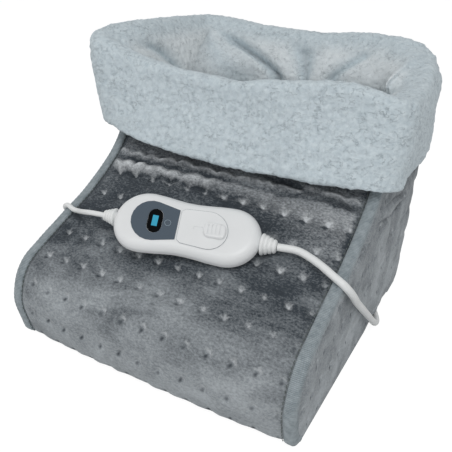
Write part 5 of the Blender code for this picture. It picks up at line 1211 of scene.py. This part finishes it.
stations, shares = around_shaft(CUFF_RINGS)
grid = np.array([
    [(*shaft_place(station, out), z) for out, z in cuff_section(station, share)]
    for station, share in zip(stations, shares)
])
around = np.roll(grid, -1, axis=0) - np.roll(grid, 1, axis=0)
across = np.roll(grid, -1, axis=1) - np.roll(grid, 1, axis=1)
normals = np.cross(around, across)
normals /= np.maximum(np.linalg.norm(normals, axis=2), 1e-9)[..., None]
outward = np.sign((normals[:, 5] * (grid[:, 5] - grid[:, 5].mean(axis=0))).sum())
normals *= outward
painted_light_and_shade = np.zeros(grid.shape[:2])
for at in range(CUFF_RINGS):
    for step in range(CUFF_STEPS):
        place = Vector(grid[at, step])
        clump = noise.noise(place / PILE_CLUMP) + 0.6 * abs(noise.noise(place / (0.5 * PILE_CLUMP)))
        slack = 1.6 * MM * noise.noise(place * 22) + 0.9 * MM * noise.noise(place * 60)
        fade = ease(step / 4) * ease((CUFF_STEPS - 1 - step) / 4)
        inner = ease((step - FOLD_STEP) / 12) * fade
        fold = folded(shares[at], place.z) * inner
        # Painted light inside the collar, turning to painted shade where it is folded
        painted_light_and_shade[at, step] = inner - fold / FOLD_SHADE_DEPTH
        grid[at, step] += normals[at, step] * ((PILE_DEPTH * clump + slack) * fade - fold)
here = np.arange(painted_light_and_shade.size).reshape(painted_light_and_shade.shape)
beside_it = np.roll(here, -1, axis=0)
corners = [here, np.roll(here, -1, axis=1), np.roll(beside_it, -1, axis=1), beside_it]
faces = np.stack(corners, axis=-1).reshape(-1, 4).tolist()
collar = keep_painted_light(mesh_piece("sherpa_collar", grid.reshape(-1, 3), faces, sherpa), painted_light_and_shade.reshape(-1))
show(collar, "sherpa", "sherpa_cuff")

# The liner
# Below the collar the same fleece lines the boot: a front with its toe, two sides, a back and a
# sole, each a soft panel with its pile turned in.
FLEECE_VOXEL = 3.5 * MM
FLEECE_DEPTH = 1.2 * MM
LINER_PARTS = ("lining_front", "lining_sole", "lining_back", "lining_left", "lining_right")


def copied(name, node, material):
    """A piece with the mesh of its solid, its doubled points merged."""
    piece = bpy.data.objects.new(name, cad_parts[node].data.copy())
    bpy.context.scene.collection.objects.link(piece)
    shape = bmesh.new()
    shape.from_mesh(piece.data)
    bmesh.ops.remove_doubles(shape, verts=shape.verts, dist=0.01 * MM)
    shape.to_mesh(piece.data)
    shape.free()
    piece.data.materials.clear()
    piece.data.materials.append(material)
    return piece


def fleeced(name, node):
    """A soft panel with the form of its solid, its skin raised into pile."""
    piece = copied(name, node, sherpa)
    remesh = piece.modifiers.new("cells", "REMESH")
    remesh.mode = "VOXEL"
    remesh.voxel_size = FLEECE_VOXEL
    remesh.use_smooth_shade = True
    settled = bpy.data.meshes.new_from_object(piece.evaluated_get(bpy.context.evaluated_depsgraph_get()))
    piece.modifiers.clear()
    piece.data = settled
    for vertex, normal in zip(settled.vertices, [vertex.normal.copy() for vertex in settled.vertices]):
        vertex.co += normal * FLEECE_DEPTH * (noise.noise(vertex.co / PILE_CLUMP) - 0.5)
    settled.shade_smooth()
    return piece


for node in LINER_PARTS:
    panel = fleeced(f"{node}_fleece", node)
    # The lining's pile is painted paler all over, as painted light
    keep_painted_light(panel, np.ones(len(panel.data.vertices)))
    show(panel, "sherpa", node)
# The wire is sewn to needled felt, whose short matted fibres look like a plain flannel
felt = brushed_flannel("needled_felt_white", "#c9c6bf", "#e2dfd8", "#ebe8e1")
show(copied("heater_felt", "heater_carrier", felt), "felt", "heater_carrier")

# The hidden works
# The heating wire, its two thermal cutouts, the heel board and the inlet are inside the boot.
# Extruded silicone rubber has a soft gloss, moulded nylon a dry one, and pressed board is matt.
silicone = moulded("silicone_rubber_extruded", "#b5604a", 0.5, 1.0 * MM, 0.05 * MM)
nylon = moulded("glass_nylon_moulded", "#2b2d30", 0.5, 0.5 * MM, 0.05 * MM)
pressed_board = moulded("fibreboard_pressed", "#9a8467", 0.85, 2.0 * MM, 0.3 * MM)
coat(silicone, "heating_wire")
coat(nylon, "sole_cutout", "instep_cutout", "terminal_block", "left_cord_clamp", "right_cord_clamp")
coat(nylon, "slide_switch", "display_module", "film_capacitor", "thyristor")
coat(pressed_board, "heel_board")
coat(soft_pvc, "cord_inlet")
coat(nickelled_brass, "fuse", *[f"controller_screw_{number}" for number in range(1, 5)])

# The controller's shell
# Two halves of white ABS meet at a fine parting line round the middle. The mould's satin face
# rolls over in a wide soft edge, and the flat top carries the film and the switch plate.
CONTROLLER_HEIGHT = 19.0 * MM
CONTROLLER_PARTING = 9.9 * MM
PARTING_GAP = 0.3 * MM
DISPLAY_END_RADIUS = 27.0 * MM
MAINS_END_RADIUS = 25.6 * MM
WAIST_DEPTH = 2.7 * MM
FACE_LEAN = 0.13
FACE_Y = -1.2 * MM
# The halves' profiles from below: shares of the height, and of the end's radius that is drawn in
UNDER_SHARES = ((0.0, 0.62), (0.06, 0.42), (0.17, 0.22), (0.33, 0.07), (0.50, 0.0))
OVER_SHARES = ((0.54, 0.0), (0.70, 0.02), (0.85, 0.09), (0.95, 0.19), (1.0, 0.30))

satin_abs = moulded("abs_moulded_satin", "#e9ebec", 0.36, 0.9 * MM, 0.04 * MM)


def housing_outline(inset):
    """The shell's plan, drawn in by the inset: two round ends and a slight waist."""
    display = (DISPLAY_END_RADIUS - CONTROLLER_LENGTH / 2, DISPLAY_END_RADIUS - inset)
    mains = (CONTROLLER_LENGTH / 2 - MAINS_END_RADIUS, MAINS_END_RADIUS - inset)
    points = []
    for (x, radius), (next_x, next_radius), side in ((display, mains, -1), (mains, display, 1)):
        for step in range(41):
            angle = math.radians(180 * step / 40 - 90 * side)
            points.append((x + radius * math.cos(angle), radius * math.sin(angle)))
        for step in range(1, 24):
            share = step / 24
            half = radius + (next_radius - radius) * share - WAIST_DEPTH * math.sin(math.pi * share) ** 2
            points.append((x + share * (next_x - x), side * half))
    return points


def half_shell(name, shares, rim, node):
    """One half of the shell: its rounded outside, and its inside one wall in."""
    levels = smooth_curve(shares, 6)
    outside = [(up * CONTROLLER_HEIGHT, drawn * MAINS_END_RADIUS) for up, drawn in levels]
    over = rim > CONTROLLER_PARTING
    keep, limit = (min, CONTROLLER_HEIGHT - SHELL_WALL) if over else (max, SHELL_WALL)
    inner = [(keep(height, limit), drawn + SHELL_WALL) for height, drawn in outside][::-1]
    lip = [(rim, 0.0), (rim, SHELL_WALL)]
    profile = inner + lip[::-1] + outside if over else outside + lip + inner
    piece = lofted(name, [
        [CONTROLLER @ Vector((x, y, height)) for x, y in housing_outline(inset)] for height, inset in profile
    ], satin_abs)
    piece.data.set_sharp_from_angle(angle=math.radians(50))
    return show(piece, "white_shell", node)


low_rim, high_rim = CONTROLLER_PARTING - PARTING_GAP / 2, CONTROLLER_PARTING + PARTING_GAP / 2
half_shell("shell_bottom_half", UNDER_SHARES, low_rim, "controller_bottom_shell")
half_shell("shell_top_half", OVER_SHARES, high_rim, "controller_top_shell")

# The controller's face
# A matt slate polyester film is printed round a glossy black acrylic window with one lit bar, and
# the satin thumb slider runs on its own plate with a hairline joint round it. The board under it
# has a smooth green solder mask.
FACE_TOP = 19.5 * MM
LENS_X = -24.5 * MM
LIT_BAR = (4.9 * MM, 9.6 * MM)
RING_X = -13.3 * MM
RING_RADIUS = 2.6 * MM
PLATE_LEFT = -3.5 * MM
PLATE_RIGHT = 37.0 * MM
PLATE_HALF = 16.5 * MM
printed_film = moulded("polyester_film_matt_slate", "#3f4d5a", 0.42, 0.4 * MM, 0.02 * MM)
black_acrylic = moulded("acrylic_gloss_black", "#030405", 0.12, 0.8 * MM, 0.005 * MM, 0.03, 0.05)
solder_mask = moulded("solder_mask_green", "#1f6b45", 0.35, 0.5 * MM, 0.02 * MM)
joint_shadow = moulded("abs_joint_shadow", "#a4a9ad", 0.60, 0.5 * MM, 0.02 * MM)
pale_ink = moulded("screen_ink_pale", "#9fb0bb", 0.60, 0.5 * MM, 0.02 * MM)
coat(printed_film, "display_overlay")
coat(black_acrylic, "display_lens")
coat(satin_abs, "switch_plate", "switch_knob")
coat(solder_mask, "circuit_board")


def lit_plastic(name, code):
    """A bar of light-diffusing plastic, lit from behind; its glow varies a little in soft clouds."""
    material, tree = finish(name)
    where = add(tree, "TexCoord").outputs["Object"]
    cloud = add(tree, "TexNoise", {"Vector": where, "Scale": 300.0, "Detail": 1.0})
    level = add(tree, "MapRange", {"Value": cloud, "To Min": 0.60, "To Max": 0.80})
    surface(tree, add(tree, "BsdfPrincipled", {
        "Base Color": linear("#08404f"),
        "Roughness": 0.4,
        "Emission Color": linear(code),
        "Emission Strength": level,
    }))
    return material


def on_face(x, y, height):
    """A place on the controller's face, whose print leans a little."""
    return CONTROLLER @ Vector((x - FACE_LEAN * y, y + FACE_Y, height))


def arc(x, radius, begin, end, step):
    """Places on a round line from one angle to another, in whole degrees."""
    angles = [math.radians(angle) for angle in range(begin, end + 1, step)]
    return [(x + radius * math.cos(angle), radius * math.sin(angle)) for angle in angles]


def hairline(name, points, height, width, material, slot):
    """A closed fine line that lies on the controller's face."""
    piece = round_line(name, [on_face(x, y, height) for x, y in points], width, 2, material)
    piece.data.splines[0].use_cyclic_u = True
    show(piece, slot)


blue_light = lit_plastic("diffuser_lit_blue", "#1b9fc0")
bar_wide, bar_high = LIT_BAR
corners = ((-1, -1), (1, -1), (1, 1), (-1, 1))
rings = [
    [on_face(LENS_X + across * bar_wide / 2, up * bar_high / 2, height) for across, up in corners]
    for height in (FACE_TOP, FACE_TOP + 0.12 * MM)
]
show(lofted("lit_bar", rings, blue_light, flat=True), "black_lens")
power_ring = arc(RING_X, RING_RADIUS, 0, 350, 10)
hairline("printed_power_ring", power_ring, FACE_TOP, 0.3 * MM, pale_ink, "slate_film")
bend_x = PLATE_LEFT + 0.2 * PLATE_HALF
joint = [(PLATE_LEFT, 0.78 * PLATE_HALF), (PLATE_LEFT, -0.78 * PLATE_HALF), (bend_x, -0.92 * PLATE_HALF)]
joint += arc(PLATE_RIGHT - PLATE_HALF, PLATE_HALF, -90, 90, 6) + [(bend_x, 0.92 * PLATE_HALF)]
hairline("plate_joint", joint, FACE_TOP - 0.2 * MM, 0.5 * MM, joint_shadow, "white_shell")

# The strain reliefs
# Soft PVC sleeves with four rounded ribs taper from the shell's ends to the cords.
RELIEF_RIBS = 4
RELIEF_RIB_DEPTH = 1.2 * MM
RELIEF_FLANGE = 5.3 * MM
RELIEF_FLANGE_DEPTH = 2.5 * MM
RELIEF_CORE = 4.6 * MM
MAINS_RELIEF_RADII = (9.2 * MM, 5.0 * MM)
PAD_RELIEF_RADII = (8.0 * MM, 4.2 * MM)


def relief(name, end, length, radii, cord, node):
    """A ribbed sleeve: its neck in the shell, then ribs that get smaller toward the cord."""
    profile = [(0.0, RELIEF_FLANGE), (RELIEF_FLANGE_DEPTH, RELIEF_FLANGE)]
    profile += [(RELIEF_FLANGE_DEPTH + 0.1 * MM, RELIEF_CORE), (RELIEF_NECK, RELIEF_CORE)]
    for step in range(10 * RELIEF_RIBS + 1):
        share = step / (10 * RELIEF_RIBS)
        rib = abs(math.sin(math.pi * RELIEF_RIBS * share)) ** 0.6
        radius = radii[0] + share * (radii[1] - radii[0]) - RELIEF_RIB_DEPTH * (1 - rib)
        profile.append((RELIEF_NECK + share * length, max(radius, cord / 2 + 0.4 * MM)))
    rings = []
    for along, radius in profile:
        ring = []
        for step in range(32):
            angle = 2 * math.pi * step / 32
            across, up = radius * math.cos(angle), radius * math.sin(angle)
            ring.append(CONTROLLER @ Vector((end * (RELIEF_START + along), across, RELIEF_AXIS + up)))
        rings.append(ring)
    show(lofted(name, rings, soft_pvc), "white_cord", node)


relief("pad_relief_sleeve", -1, PAD_RELIEF_LENGTH, PAD_RELIEF_RADII, PAD_CORD_DIAMETER, "left_relief")
relief(
    "mains_relief_sleeve", 1, MAINS_RELIEF_LENGTH, MAINS_RELIEF_RADII, MAINS_CORD_DIAMETER, "right_relief"
)

# Light and floor
# A white studio floor with a large soft lamp above right of the camera, a smaller one over its
# left shoulder and a weak one at the left, so that the light falls off gently to the left.
bpy.context.scene.view_settings.view_transform = "Standard"
world = bpy.data.worlds.new("studio")
bpy.context.scene.world = world
world.use_nodes = True
tree = world.node_tree
tree.nodes.clear()
WHITE = (1.0, 1.0, 1.0, 1.0)
path = add(tree, "LightPath").outputs
seen = add(tree, "Math", {0: path["Is Camera Ray"], 1: path["Is Glossy Ray"]}, operation="MAXIMUM")
seen = add(tree, "Math", {0: seen, 1: path["Is Transmission Ray"]}, operation="MAXIMUM")
lit = add(tree, "Background", {"Color": WHITE, "Strength": 0.45})
white = add(tree, "Background", {"Color": WHITE, "Strength": 1.0})
both = add(tree, "MixShader", {0: seen, 1: lit, 2: white})
add(tree, "OutputWorld", {"Surface": both})
LAMP_AIM = Vector((0.0, 0.0, 0.1))


def lamp(name, place, size, power):
    """A large soft area lamp."""
    made = bpy.data.objects.new(name, bpy.data.lights.new(name, "AREA"))
    made.data.shape = "DISK"
    made.data.size = size
    made.data.energy = power
    made.location = place
    made.rotation_euler = (LAMP_AIM - Vector(place)).to_track_quat("-Z", "Y").to_euler()
    bpy.context.scene.collection.objects.link(made)


lamp("key", (0.70, -1.0, 1.45), 0.9, 9.0)
lamp("front", (-0.2, -1.4, 0.9), 0.8, 2.6)
lamp("fill", (-1.3, -0.6, 0.9), 1.2, 1.5)

# White painted board: what the camera sees of it is mostly its own white, and keeps the shadow
FLOOR_REACH = 12.0
FLOOR_DROP = 0.2 * MM
painted_board, tree = finish("studio_floor_white")
cast = add(tree, "BsdfDiffuse", {"Color": (0.86, 0.86, 0.86, 1.0)})
glow = add(tree, "Emission", {"Color": WHITE, "Strength": 1.17})
path = add(tree, "LightPath").outputs
share = add(tree, "Math", {0: path["Is Camera Ray"], 1: 0.8}, operation="MULTIPLY")
surface(tree, add(tree, "MixShader", {0: share, 1: cast, 2: glow}))
corners = [(x * FLOOR_REACH, y * FLOOR_REACH, 0) for x, y in ((-1, -1), (1, -1), (1, 1), (-1, 1))]
floor = mesh_piece("floor", corners, [(0, 1, 2, 3)], painted_board, flat=True)
floor.location.z = -FLOOR_DROP
floor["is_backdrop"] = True

low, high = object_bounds()
